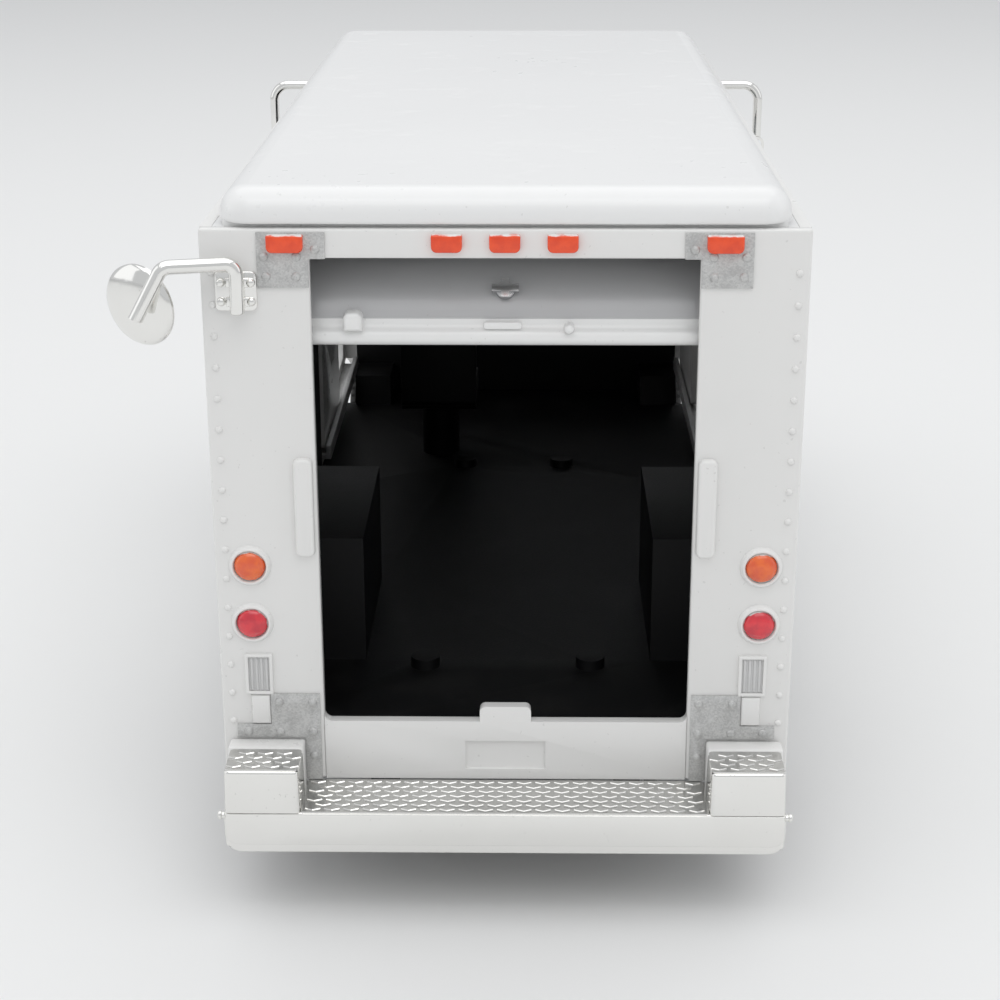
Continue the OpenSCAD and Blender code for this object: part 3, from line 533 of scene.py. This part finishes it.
ring_profile = [(2.1, -0.05), (2.1, 0.45), (2.22, 0.6), (2.4, 0.6), (2.62, 0.35), (2.8, 0.0),
                (2.8, -0.05), (2.1, -0.05)]
rings = turned(ring_profile, at(0, 0, 0), (0, -1, 0), 40)
rings = copies(rings, [(s * tail_lamp_x, 0, z) for s in (-1, 1) for z in (red_z, amber_z)])
frames = []
for s in (-1, 1):
    lower = block((s * 31.1, -0.5, 24.7), (s * 33.6, 0.05, 28.8))
    round_off(lower, 0.3, 3, lambda p, way: p.y < -0.4)
    frame_bar = block((s * 30.6, -0.5, 29), (s * 34.2, 0.05, 34.7))
    bpy.ops.object.mode_set(mode="EDIT")
    pick(frame_bar, "FACE", lambda p, way: way.y < -0.9)
    bpy.ops.mesh.inset(thickness=0.42 * MM)
    bpy.ops.mesh.extrude_region_move(TRANSFORM_OT_translate={"value": (0, 0.45 * MM, 0)})
    bpy.ops.object.mode_set(mode="OBJECT")
    round_off(frame_bar, 0.12, 2, lambda p, way: p.y < -0.45)
    frames += [lower, frame_bar]
settle(join(rings, *frames), "lamp_rings_and_boxes", enamel, "lamp_surrounds", angle=40)


# ---- Reversing lamps ----
# Small upright lenses under the red lamps, moulded with four flutes.  They are cast on the
# body, under a pale grey silver that is thin enough for the white to show.
pale_silver = enamel_finish("pale_silver", (0.56, 0.56, 0.555), (0.66, 0.66, 0.655))
lens = block((31.05, -0.12, 29.45), (33.75, 0.05, 34.25))
flutes = []
for k in range(4):
    flute = block((31.2 + 0.65 * k, -0.34, 29.5), (31.6 + 0.65 * k, -0.1, 34.2))
    round_off(flute, 0.16, 3, lambda p, way: p.y < -0.3)
    flutes.append(flute)
lens = join(lens, *flutes)
modify(lens, "MIRROR", use_axis=(True, False, False))
settle(lens, "reversing_lenses", pale_silver, "reverse_lamps")


# ---- Grab rails ----
# Upright bars on both sides of the opening, to hold while stepping up.  They are cast in
# relief on the zinc frame, with soft edges, and covered by the body's enamel.
rail = block((24.4, -0.9, 48.5), (26.9, 0.05, 61.8))
round_off(rail, 0.8, 5, lambda p, way: abs(way.y) > 0.9)
round_off(rail, 0.45, 4, lambda p, way: p.y < -0.85)
modify(rail, "MIRROR", use_axis=(True, False, False))
settle(rail, "grab_rail_bars", enamel, "grab_rails")


# ---- Rear bumper ----
# A hollow plastic beam with a bright vacuum plating.  Its face has a groove over a lower
# lip, and a peg at each end holds it in the mould.
def plating_finish(name, low, high, rough, wave):
    """Bright plating over plastic: flow waves, faint grime, a few dull patches."""
    material, n, place, feed = new_finish(name, Metallic=1.0)
    flow = n.speckle(place, 90, 2)
    haze = n.speckle(place, 330, 4).step(0.45, 0.8)
    pits = n.speckle(place, 2600, 2) > 0.74
    feed(Base_Color=n.blend(pits * 0.35, n.blend(flow, low, high), (0.25, 0.24, 0.22)),
         Roughness=haze * 0.1 + rough,
         Normal=n.relief(flow * 0.7 + haze * 0.1, wave))
    return material


plating = plating_finish("bright_plating", (0.80, 0.795, 0.77), (0.87, 0.865, 0.845), 0.1, 0.12)
beam = block((-36.65, -9.36, 10.4), (36.65, -0.02, 16.25))
round_off(beam, 2.3, 8, lambda p, way: abs(way.y) > 0.9 and p.z < 12)
round_off(beam, 0.9, 6, lambda p, way: abs(way.z) > 0.9 and p.y < -9)
round_off(beam, 0.3, 4, lambda p, way: p.z > 16.2 or p.y < -9.3 and abs(way.z) < 0.9)
lip = block((-36.35, -9.5, 11.65), (36.35, -9.1, 16.12))
round_off(lip, 1.5, 6, lambda p, way: abs(way.y) > 0.9 and p.z < 12)
round_off(lip, 0.13, 3, lambda p, way: p.y < -9.45)
pegs = []
for s in (-1, 1):
    pegs.append(turned([(0, 0.9), (0.3, 0.88), (0.55, 0.7), (0.6, 0.4), (0.45, 0.25), (0.45, -0.3),
                        (0, -0.3)], at(s * 36.6, -8.5, 15.45), (s, 0, 0), 20))
settle(join(beam, lip, *pegs), "bumper_beam", plating, "rear_bumper")


# ---- Treads ----
# Chequer plate on the beam and on the step blocks: shallow bright chevrons in rows, every
# other row shifted by half a pitch, over a duller ground.
ground = plating_finish("tread_plating", (0.62, 0.615, 0.60), (0.76, 0.755, 0.735), 0.16, 0.2)
chevron_pitch = 2.5
chevron_row = 1.26


def chevrons(x0, x1, y0, y1, z):
    """Rows of chevrons between two corners, standing on z."""
    half_long = 0.98
    mark = block((-half_long, -0.15, -0.08), (half_long, 0.15, 0.17))
    bpy.ops.object.mode_set(mode="EDIT")
    pick(mark, "EDGE", lambda p, way: abs(way.x) > 0.9)
    bpy.ops.mesh.subdivide(number_cuts=3, smoothness=0)
    bpy.ops.object.mode_set(mode="OBJECT")
    for v in mark.data.vertices:
        v.co.y += (0.42 * abs(v.co.x / MM / half_long) - 0.21) * MM
    round_off(mark, 0.09, 1, lambda p, way: abs(way.x) > 0.7 and p.z > 0.1)
    rows = int((y1 - y0) / chevron_row) + 1
    across = int((x1 - x0) / chevron_pitch) + 1
    start = (x0 + x1 - (across - 1) * chevron_pitch) / 2
    places = []
    for j in range(rows):
        for i in range(across - j % 2):
            x = start + (i + j % 2 / 2) * chevron_pitch
            places.append((x, y0 + j * chevron_row, z))
    return copies(mark, places)


deck = block((-26.35, -9.3, 16.2), (26.35, -0.2, 16.42))
tops = []
for s in (-1, 1):
    top = block((s * 26.75, -9.2, 22.2), (s * 36.15, -3.4, 22.42))
    round_off(top, 0.5, 4, lambda p, way: abs(way.z) > 0.9)
    tops.append(top)
marks = [chevrons(-25.9, 25.9, -8.75, -0.75, 16.42),
         chevrons(-35.6, -27.2, -8.5, -4.2, 22.42), chevrons(27.2, 35.6, -8.5, -4.2, 22.42)]
settle(join(deck, *tops), "tread_ground", ground, "tread_plates")
settle(join(*marks), "tread_chevrons", plating, "tread_plates")


# ---- Step blocks and pads ----
# A hollow plated block stands on each end of the beam, with soft edges and a little draft.
# The white pad behind it is part of the body.
blocks = []
for s in (-1, 1):
    step = block((s * 26.5, -9.5, 16.25), (s * 36.4, -3.2, 22.25))
    for v in step.data.vertices:
        if v.co.z > 20 * MM:
            v.co.x -= 0.12 * MM * (1 if abs(v.co.x) > 30 * MM else -1) * s
    round_off(step, 0.7, 5, lambda p, way: abs(way.z) > 0.9)
    round_off(step, 0.42, 4, lambda p, way: p.z > 22.2)
    blocks.append(step)
settle(join(*blocks), "plated_step_blocks", plating, "step_blocks")
pads = []
for s in (-1, 1):
    pad = block((s * 26.6, -3.2, 16.25), (s * 36.6, -0.3, 22.5))
    round_off(pad, 0.35, 3, lambda p, way: p.z > 22.4 or abs(way.z) > 0.9)
    pads.append(pad)
settle(join(*pads), "white_step_pads", enamel, "step_pads")


# ---- Rear mirror ----
# A plated bracket with two straps and four rivets on the left post holds a bent tube.
# The tube ends on the domed back of a round mirror that looks forward.
def bent_tube(start, way, radius, moves, sides=24):
    """A closed tube: a move is (length,) or (bend radius, angle, direction it turns to)."""
    way = Vector(way).normalized()
    place = Vector(start)
    deselect()
    bpy.ops.mesh.primitive_circle_add(vertices=sides, radius=radius * MM, location=place,
                                      rotation=way.to_track_quat("Z", "Y").to_euler())
    tube = bpy.context.object
    bpy.ops.object.transform_apply(location=True, rotation=True, scale=True)
    bpy.ops.object.mode_set(mode="EDIT")
    bpy.ops.mesh.select_mode(type="EDGE")
    bpy.ops.mesh.select_all(action="SELECT")
    for move in moves:
        if len(move) == 1:
            bpy.ops.mesh.extrude_region_move(TRANSFORM_OT_translate={"value": way * move[0] * MM})
            place = place + way * move[0] * MM
        else:
            bend, angle, side = move
            side = (Vector(side) - way * Vector(side).dot(way)).normalized()
            centre = place + side * bend * MM
            axis = way.cross(side)
            bpy.ops.mesh.spin(steps=max(3, round(angle * 8)), angle=-angle, center=centre, axis=axis)
            turn = Matrix.Rotation(angle, 3, axis)
            place = centre + turn @ (place - centre)
            way = turn @ way
    bpy.ops.mesh.select_all(action="SELECT")
    bpy.ops.mesh.fill_holes(sides=0)
    bpy.ops.mesh.normals_make_consistent(inside=False)
    bpy.ops.object.mode_set(mode="OBJECT")
    return tube


bracket = block((-35.7, -0.5, 81), (-30.5, 0.02, 86))
round_off(bracket, 0.7, 4, lambda p, way: abs(way.y) > 0.9)
round_off(bracket, 0.18, 3, lambda p, way: p.y < -0.45)
straps = []
for z in (82.2, 84.6):
    strap = block((-34.3, -0.78, z - 0.6), (-31.4, -0.35, z + 0.6))
    round_off(strap, 0.2, 3, lambda p, way: p.y < -0.7)
    straps.append(strap)
bracket_rivet = [(0, 1.05), (0.25, 1.02), (0.45, 0.9), (0.56, 0.7), (0.6, 0.45), (0, 0.45)]
rivet = turned(bracket_rivet, at(0, 0, 0), (0, -1, 0), 20)
rivets = copies(rivet, [(x, 0, z) for x in (-34.9, -31.2) for z in (82.2, 84.6)])
settle(join(bracket, *straps, rivets), "mirror_bracket", plating, "rear_mirror_bracket")

arm_foot = at(-32.8, -1.65, 80.9)
swing = radians(13)
outward = Vector((-cos(swing), -sin(swing), 0))
arm = bent_tube(arm_foot, (0, 0, 1), 0.9,
                [(5.0,), (1.3, radians(90), outward), (8.9 - 1.3 - 0.95,),
                 (1.6, radians(61), (0, 0, -1)), (6.35,)])
round_off(arm, 0.3, 4, lambda p, way: p.z < 80.95)
settle(arm, "mirror_arm", plating, "rear_mirror_arm", angle=50)

disc_turn = Euler((radians(6.5), 0, radians(-30.5))).to_matrix()
disc_back = disc_turn @ Vector((0, -1, 0))
disc_centre = at(-45.05, -0.8, 81.8)
back_profile = [(0, 1.25), (1.2, 1.22), (2.4, 1.08), (3.6, 0.82), (4.6, 0.45), (5.0, 0.2), (5.2, -0.1),
                (5.2, -0.45), (5.05, -0.6), (4.75, -0.62), (4.7, -0.4), (0, -0.4)]
settle(turned(back_profile, disc_centre, disc_back, 64), "mirror_shell", plating, "rear_mirror_head")

silvering, n, place, feed = new_finish("silvering", Metallic=1.0)
smear = n.speckle(place, 60, 4)
feed(Base_Color=n.blend(smear, (0.84, 0.855, 0.87), (0.9, 0.91, 0.92)),
     Roughness=smear.step(0.4, 0.8) * 0.08 + 0.02)
face = turned([(0, -0.78), (2.5, -0.74), (4.0, -0.68), (4.72, -0.55), (4.72, -0.3), (0, -0.3)],
              disc_centre, disc_back, 64)


# ---- Front mirrors ----
# A plated tube loops out from each front corner and carries a tall mirror that looks back.
loops = []
heads = []
faces = [face]
for s in (-1, 1):
    loops.append(bent_tube(at(s * 37.4, 165.4, 85.2), (s, 0, 0), 0.9,
                           [(8,), (3, radians(90), (0, 0, -1)), (23,),
                            (3, radians(90), (-s, 0, 0)), (8,)]))
    for z in (85.2, 56.2):
        loops.append(turned([(0, 0.9), (1.0, 0.88), (1.4, 0.6), (1.5, 0.0), (0, 0.0)],
                            at(s * 37.5, 165.4, z), (s, 0, 0), 24))
    head = block((s * 41.8, 163.3, 60.2), (s * 49.8, 164.5, 75.2))
    round_off(head, 1.4, 6, lambda p, way: abs(way.y) > 0.9)
    bpy.ops.object.mode_set(mode="EDIT")
    pick(head, "FACE", lambda p, way: way.y < -0.9)
    bpy.ops.mesh.inset(thickness=0.5 * MM)
    bpy.ops.mesh.extrude_region_move(TRANSFORM_OT_translate={"value": (0, 0.3 * MM, 0)})
    bpy.ops.object.mode_set(mode="OBJECT")
    round_off(head, 0.35, 4, lambda p, way: p.y > 164.4)
    heads.append(head)
    glass = block((s * 42.35, 163.35, 60.75), (s * 49.25, 163.7, 74.65))
    round_off(glass, 0.9, 5, lambda p, way: abs(way.y) > 0.9)
    faces.append(glass)
settle(join(*loops), "front_mirror_loops", plating, "front_mirror_arms", angle=50)
settle(join(*heads), "front_mirror_backs", plating, "front_mirror_heads")
settle(join(*faces), "mirror_faces", silvering, "mirror_glasses")


# ---- Roll-up door ----
# The door stands open.  A white bar with a rolled lip hangs at its foot, with a moulded
# pill, a knob and a grip on its face; over it the sheet bends up and runs into the roof.
door_white = enamel_finish("door_white", (0.80, 0.80, 0.79), (0.82, 0.82, 0.81))


def drawn(outline, x0, x1):
    """An outline of (y, z) points in millimetres, drawn out from x0 to x1."""
    deselect()
    bpy.ops.mesh.primitive_plane_add(size=MM)
    piece = bpy.context.object
    bpy.ops.object.mode_set(mode="EDIT")
    bpy.ops.mesh.select_mode(type="VERT")
    bpy.ops.mesh.merge(type="CENTER")
    place = at(x0, *outline[0])
    bpy.ops.transform.translate(value=place)
    for y, z in outline[1:]:
        new = at(x0, y, z)
        bpy.ops.mesh.extrude_vertices_move(TRANSFORM_OT_translate={"value": new - place})
        place = new
    bpy.ops.mesh.select_all(action="SELECT")
    bpy.ops.mesh.edge_face_add()
    bpy.ops.mesh.extrude_region_move(TRANSFORM_OT_translate={"value": ((x1 - x0) * MM, 0, 0)})
    bpy.ops.mesh.select_all(action="SELECT")
    bpy.ops.mesh.normals_make_consistent(inside=False)
    bpy.ops.object.mode_set(mode="OBJECT")
    return piece


bar_outline = [(4.1, 79.15), (3.15, 79.15), (3.12, 78.6), (2.95, 78.2), (2.6, 77.95)]
lip_r = 1.05
bar_outline += [(2.95 + lip_r * cos(radians(a)), 76.9 + lip_r * sin(radians(a)))
                for a in range(130, 360, 15)]
bar_outline += [(4.05, 77.2)]
bar = drawn(bar_outline, -25.4, 25.4)
round_off(bar, 0.45, 4, lambda p, way: abs(p.x) > 25.39 and p.y < 3.6)
pill = block((-2.7, 2.1, 78.05), (2.1, 3.3, 78.95))
round_off(pill, 0.43, 4, lambda p, way: abs(way.y) > 0.9)
round_off(pill, 0.15, 2, lambda p, way: p.y < 2.2)
knob = turned([(0, 2.05), (0.3, 2.02), (0.52, 1.86), (0.62, 1.6), (0.65, 1.2), (0.62, 0), (0, 0)],
              at(8, 3.2, 78.25), (0, -1, 0), 24)
grip = block((-20.2, 1.2, 77.9), (-17.8, 3.3, 80.3))
round_off(grip, 0.85, 5, lambda p, way: abs(way.y) > 0.9 and p.z > 79)
round_off(grip, 0.5, 4, lambda p, way: p.y < 1.3)
settle(join(bar, pill, knob, grip), "door_bar_with_lip", door_white, "rear_door_bar")

# the sheet behind the bar is coloured mid grey: painted shade, standing for the shade that the header and
# roof cast on it
sheet_painted_shade = enamel_finish("sheet_painted_shade", (0.44, 0.44, 0.445), (0.48, 0.48, 0.485))
angles = [radians(a) for a in (21.5, 26, 32, 38, 44, 50, 56, 62, 68, 74, 80, 85, 90)]
bend_y = 12
bend_z = 75.85
outer = [(bend_y - 9.5 * cos(a), bend_z + 9.5 * sin(a)) for a in angles]
inner = [(bend_y - 8.5 * cos(a), bend_z + 8.5 * sin(a)) for a in angles]
settle(drawn(outer + inner[::-1], -25.4, 25.4), "door_sheet_bend", sheet_painted_shade, "rear_door_curtain")
level = block((-25.4, bend_y, 84.35), (25.4, 64.4, 85.35))
settle(level, "door_sheet_level", sheet_painted_shade, "rear_door_curtain", angle=20)
tuple(at(0, bend_y, 84.85))
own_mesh(level)
hanging = block((-25.4, outer[0][0], 79.05), (25.4, inner[0][0], 79.4))
settle(hanging, "door_sheet_hanging", sheet_painted_shade, "rear_door_curtain", angle=20, rides=False)
tuple(at(0, 3.6, 79.4))
tuple(at(0, 3.6, 79.05))
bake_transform(hanging)
eased("rear_door_top_bar", 0.25, door_white)
lock_metal = plating_finish("lock_metal", (0.42, 0.42, 0.43), (0.6, 0.6, 0.6), 0.22, 0.1)
eased("rear_door_lock", 0.16, lock_metal)
eased("rear_door_tracks", 0.12, silver, 2)


# ---- Black mouldings ----
# The floor with its wheel wells and liners, the seat, dashboard, wheel, chassis and tank
# are black plastic, with a fine spark texture from the mould.
def moulding_finish(name, low, high, rough, texture):
    """Black plastic with a spark texture and a little dust on what faces up."""
    material, n, place, feed = new_finish(name, Specular_IOR_Level=0.22)
    spark = n.speckle(place, 3200, 3)
    cloud = n.speckle(place, 120, 4)
    up = n.node("ShaderNodeNewGeometry", out=1)
    facing = up.node("ShaderNodeSeparateXYZ", Vector=up, out=2)
    dust = facing.step(0.6, 1.0) * cloud.step(0.45, 0.75) * 0.012
    feed(Base_Color=n.blend(dust, n.blend(cloud, low, high), (0.5, 0.49, 0.47)),
         Roughness=spark * 0.14 + cloud * 0.1 + rough,
         Normal=n.relief(spark, texture))
    return material


black = moulding_finish("black_moulding", (0.003, 0.003, 0.0035), (0.006, 0.006, 0.0065), 0.4, 0.02)
chassis_black = moulding_finish("chassis_black", (0.012, 0.012, 0.012), (0.022, 0.022, 0.022), 0.42, 0.03)
for node, edge in (("cargo_liner", 0.3), ("dashboard", 0.5), ("steering_wheel", 0.1), ("driver_seat", 0.9)):
    eased(node, edge, black)
for node, edge in (("chassis_plate", 0.2), ("frame_rails", 0.35), ("fuel_tank", 0.5), ("driveline", 0.3)):
    eased(node, edge, chassis_black)
# painted shade: a black sheet over the white inner wall of the cab front, under the dashboard, so that the
# wall reads as dark as the shaded inside of the van
shade_sheet = block((-33.4, 166.6, 21), (33.4, 167.85, 38.5))
round_off(shade_sheet, 0.4, 3, lambda p, way: p.y < 166.7)
settle(shade_sheet, "firewall_painted_shade", black, body="van")


# ---- Cab doors ----
# Flat white doors that slide on rails inside the body, with a window and a finger slot.
# The left one stands open; a thin black rubber channel holds each pane.
pane_clear, n, place, feed = new_finish("window_clear", IOR=1.49, Specular_IOR_Level=0.6)
smear = n.speckle(place, 45, 5)
feed(Base_Color=n.blend(smear, (0.62, 0.68, 0.70), (0.74, 0.79, 0.80)),
     Roughness=smear.step(0.5, 0.8) * 0.12 + 0.03,
     Alpha=smear * 0.12 + 0.2)
for side in ("left", "right"):
    eased("cab_door_" + side, 0.22, enamel)
    eased("cab_door_glass_" + side, 0.08, pane_clear, 2)
    low, high = [(v - at(0, 0, 0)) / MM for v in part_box("cab_door_glass_" + side)]
    s = 1 if side == "right" else -1
    out_x = max(abs(low.x), abs(high.x)) + 0.32
    channel = block((s * (out_x - 0.12), low.y - 0.6, low.z - 0.6),
                    (s * (out_x + 0.06), high.y + 0.6, high.z + 0.6))
    round_off(channel, 1.9, 5, lambda p, way: abs(way.x) > 0.9)
    bpy.ops.object.mode_set(mode="EDIT")
    pick(channel, "FACE", lambda p, way: abs(way.x) > 0.9)
    bpy.ops.mesh.inset(thickness=0.65 * MM)
    bpy.ops.mesh.bridge_edge_loops()
    bpy.ops.object.mode_set(mode="OBJECT")
    settle(channel, "pane_channel_" + side, black, body=side + "_cab_door", angle=40)
eased("cab_door_tracks", 0.1, silver, 2)


# ---- Windscreen and wipers ----
# Two clear styrene panes are pressed into the leaning frame from inside, behind black
# rubber.  A thin black plastic wiper is pinned under each.
eased("windscreen", 0.08, pane_clear, 2)
eased("wipers", 0.08, black, 2)


# ---- Grille and front lamps ----
# A black grille plate with bars across the front panel, round headlamps with fluted
# lenses in plated rings, and amber signals over them and over the windscreen.
eased("grille", 0.14, chassis_black, 2)
lamp_glass, n, place, feed = new_finish("lamp_glass", Coat_Weight=0.8, Coat_Roughness=0.02)
flute = n.node("ShaderNodeTexWave", {"bands_direction": "X"}, Vector=place, Scale=320.0, out=1)
cell = n.speckle(place, 900, 2)
feed(Base_Color=n.blend(flute * 0.5 + cell * 0.5, (0.52, 0.54, 0.55), (0.82, 0.84, 0.85)),
     Roughness=cell * 0.1 + 0.08,
     Metallic=flute * 0.2 + 0.4,
     Normal=n.relief(flute, 0.05))
front_y = 189
headlamp_z = 31
headlamp_shifts = [(-25.5, 0, 0), (25.5, 0, 0)]
lens = turned([(0, 1.1), (1.2, 1.04), (2.2, 0.85), (2.9, 0.5), (3.18, 0.1), (3.18, -0.05), (0, -0.05)],
              at(0, front_y, headlamp_z), (0, 1, 0), 48)
settle(copies(lens, headlamp_shifts), "headlamp_lenses", lamp_glass, "headlamps", angle=50)
ring = turned([(3.22, -0.05), (3.22, 0.6), (3.4, 0.86), (3.6, 0.9), (3.85, 0.72), (3.98, 0.3), (4.0, -0.05),
               (3.22, -0.05)], at(0, front_y, headlamp_z), (0, 1, 0), 48)
settle(copies(ring, headlamp_shifts), "headlamp_rings", plating, "headlamp_bezels", angle=50)
amber, n, place, feed = new_finish("amber_paint", Coat_Weight=0.6, Coat_Roughness=0.04)
cloud = n.speckle(place, 500, 3)
feed(Base_Color=n.blend(cloud, (0.72, 0.12, 0.02), (0.84, 0.18, 0.03)), Roughness=cloud * 0.15 + 0.15)
eased("front_amber_lamps", 0.25, amber)
eased("front_bumper", 0.5, plating, 4)


# ---- Underside ----
# The exhaust pipe clips under the chassis plate, and four screws hold the plate to the
# body.  They are bare steel, dulled a little by handling.
steel = plating_finish("dull_steel", (0.34, 0.34, 0.335), (0.5, 0.5, 0.49), 0.28, 0.1)
eased("exhaust", 0.15, steel, 2)
eased("base_screws", 0.1, steel, 2)


# ---- Wheels ----
# Plated plastic rims, dished, with round hand holes and a ring of wheel nuts, pressed on a
# steel axle.  The tyres are soft black vinyl with ribs round them and blocks at their edge.
vinyl, n, place, feed = new_finish("tyre_vinyl", Specular_IOR_Level=0.35)
grain = n.speckle(place, 1500, 3)
bloom = n.speckle(place, 160, 4)
feed(Base_Color=n.blend(bloom.step(0.35, 0.8), (0.012, 0.012, 0.012), (0.035, 0.034, 0.032)),
     Roughness=grain * 0.15 + 0.5,
     Normal=n.relief(grain, 0.03))
rim_plating = plating_finish("rim_plating", (0.66, 0.66, 0.65), (0.8, 0.8, 0.79), 0.16, 0.06)
tyre_r = 12.75
axle_height = 12.75


def tyre(y, inner, outer):
    """A tyre between two distances from the middle line, on the right, at an axle's y."""
    w = outer - inner
    m = (inner + outer) / 2
    line = [(w / 2 - 0.5, 8.0), (w / 2 - 0.15, 8.2), (w / 2, 8.9), (w / 2 - 0.02, 9.6), (w / 2, 9.8),
            (w / 2, 10.2), (w / 2 - 0.12, 11.2), (w / 2 - 0.4, 12.0), (w / 2 - 0.95, 12.55)]
    grooves = [(0.31, 0.27), (0.12, 0.08)]
    for a, b in grooves:
        line += [(a * w, tyre_r), (a * w - 0.02, 12.3), (b * w + 0.02, 12.3), (b * w, tyre_r)]
    profile = [(r, x) for x, r in line] + [(r, -x) for x, r in reversed(line)] + [(8.0, w / 2 - 0.5)]
    round_tyre = turned(profile, at(m, y, axle_height), (1, 0, 0), 72)
    lug = block((m + w * 0.33, y - 0.28, axle_height + 12.3),
                (m + w / 2 - 0.42, y + 0.28, axle_height + 12.68))
    for v in lug.data.vertices:
        if v.co.x > (m + w * 0.4) * MM and v.co.z > (axle_height + 12.5) * MM:
            v.co.z -= 0.28 * MM
    lugs = []
    centre = at(m, y, axle_height)
    lug_count = 44
    for k in range(lug_count):
        turn = Matrix.Rotation(2 * pi * k / lug_count, 4, "X")
        for flip in (1, -1):
            twin = lug.copy()
            twin.data = lug.data.copy()
            for v in twin.data.vertices:
                from_hub = v.co - centre
                from_hub.x *= flip
                v.co = turn @ from_hub + centre
            if flip < 0:
                twin.data.flip_normals()
            bpy.context.scene.collection.objects.link(twin)
            lugs.append(twin)
    bpy.data.objects.remove(lug)
    return join(round_tyre, *lugs)


def rim(y, inner, outer, dish):
    """A rim with its nuts and hub cap, on the right, at an axle's y."""
    w = outer - inner
    profile = [(0, w - dish + 1.5), (1.4, w - dish + 1.45), (2.0, w - dish + 1.1), (2.1, w - dish),
               (4.2, w - dish), (5.1, w - dish - 0.25), (6.6, w - dish), (6.95, w - 0.4), (7.2, w - 0.05),
               (7.6, w), (7.98, w - 0.25), (7.98, 0.2), (7.6, 0), (0, 0)]
    disc = turned(profile, at(inner, y, axle_height), (1, 0, 0), 64)
    nut_profile = [(0, 0.75), (0.22, 0.72), (0.3, 0.6), (0.42, 0.45), (0.46, -0.1), (0, -0.1)]
    hole_profile = [(0.5, 0.18), (0.62, 0.14), (0.7, -0.1), (0.5, -0.1), (0.5, 0.18)]
    nut_r = 3.2
    hole_r = 5.2
    rings = []
    for k in range(8):
        angle = 2 * pi * k / 8
        nut = at(inner + w - dish, y + nut_r * sin(angle), axle_height + nut_r * cos(angle))
        rings.append(turned(nut_profile, nut, (1, 0, 0), 6))
        angle += pi / 8
        hole = at(inner + w - dish - 0.2, y + hole_r * sin(angle), axle_height + hole_r * cos(angle))
        rings.append(turned(hole_profile, hole, (1, 0, 0), 14))
    return join(disc, *rings)


for node_end, y, tyres, rim_ends in (("front", front_axle_y, ((28.2, 34.9),), (28.7, 34.4, 2.0)),
                                     ("rear", rear_axle_y, ((22.9, 28.6), (29.2, 34.9)),
                                      (23.4, 34.4, 4.0))):
    rubber = join(*[tyre(y, *ends) for ends in tyres])
    modify(rubber, "MIRROR", use_axis=(True, False, False))
    settle(rubber, "ribbed_tyres_" + node_end, vinyl, "tyres_" + node_end, angle=40)
    discs = rim(y, *rim_ends)
    modify(discs, "MIRROR", use_axis=(True, False, False))
    settle(discs, "plated_rims_" + node_end, rim_plating, "rims_" + node_end, angle=35)
    eased("axle_" + node_end, 0.2, steel, 2)
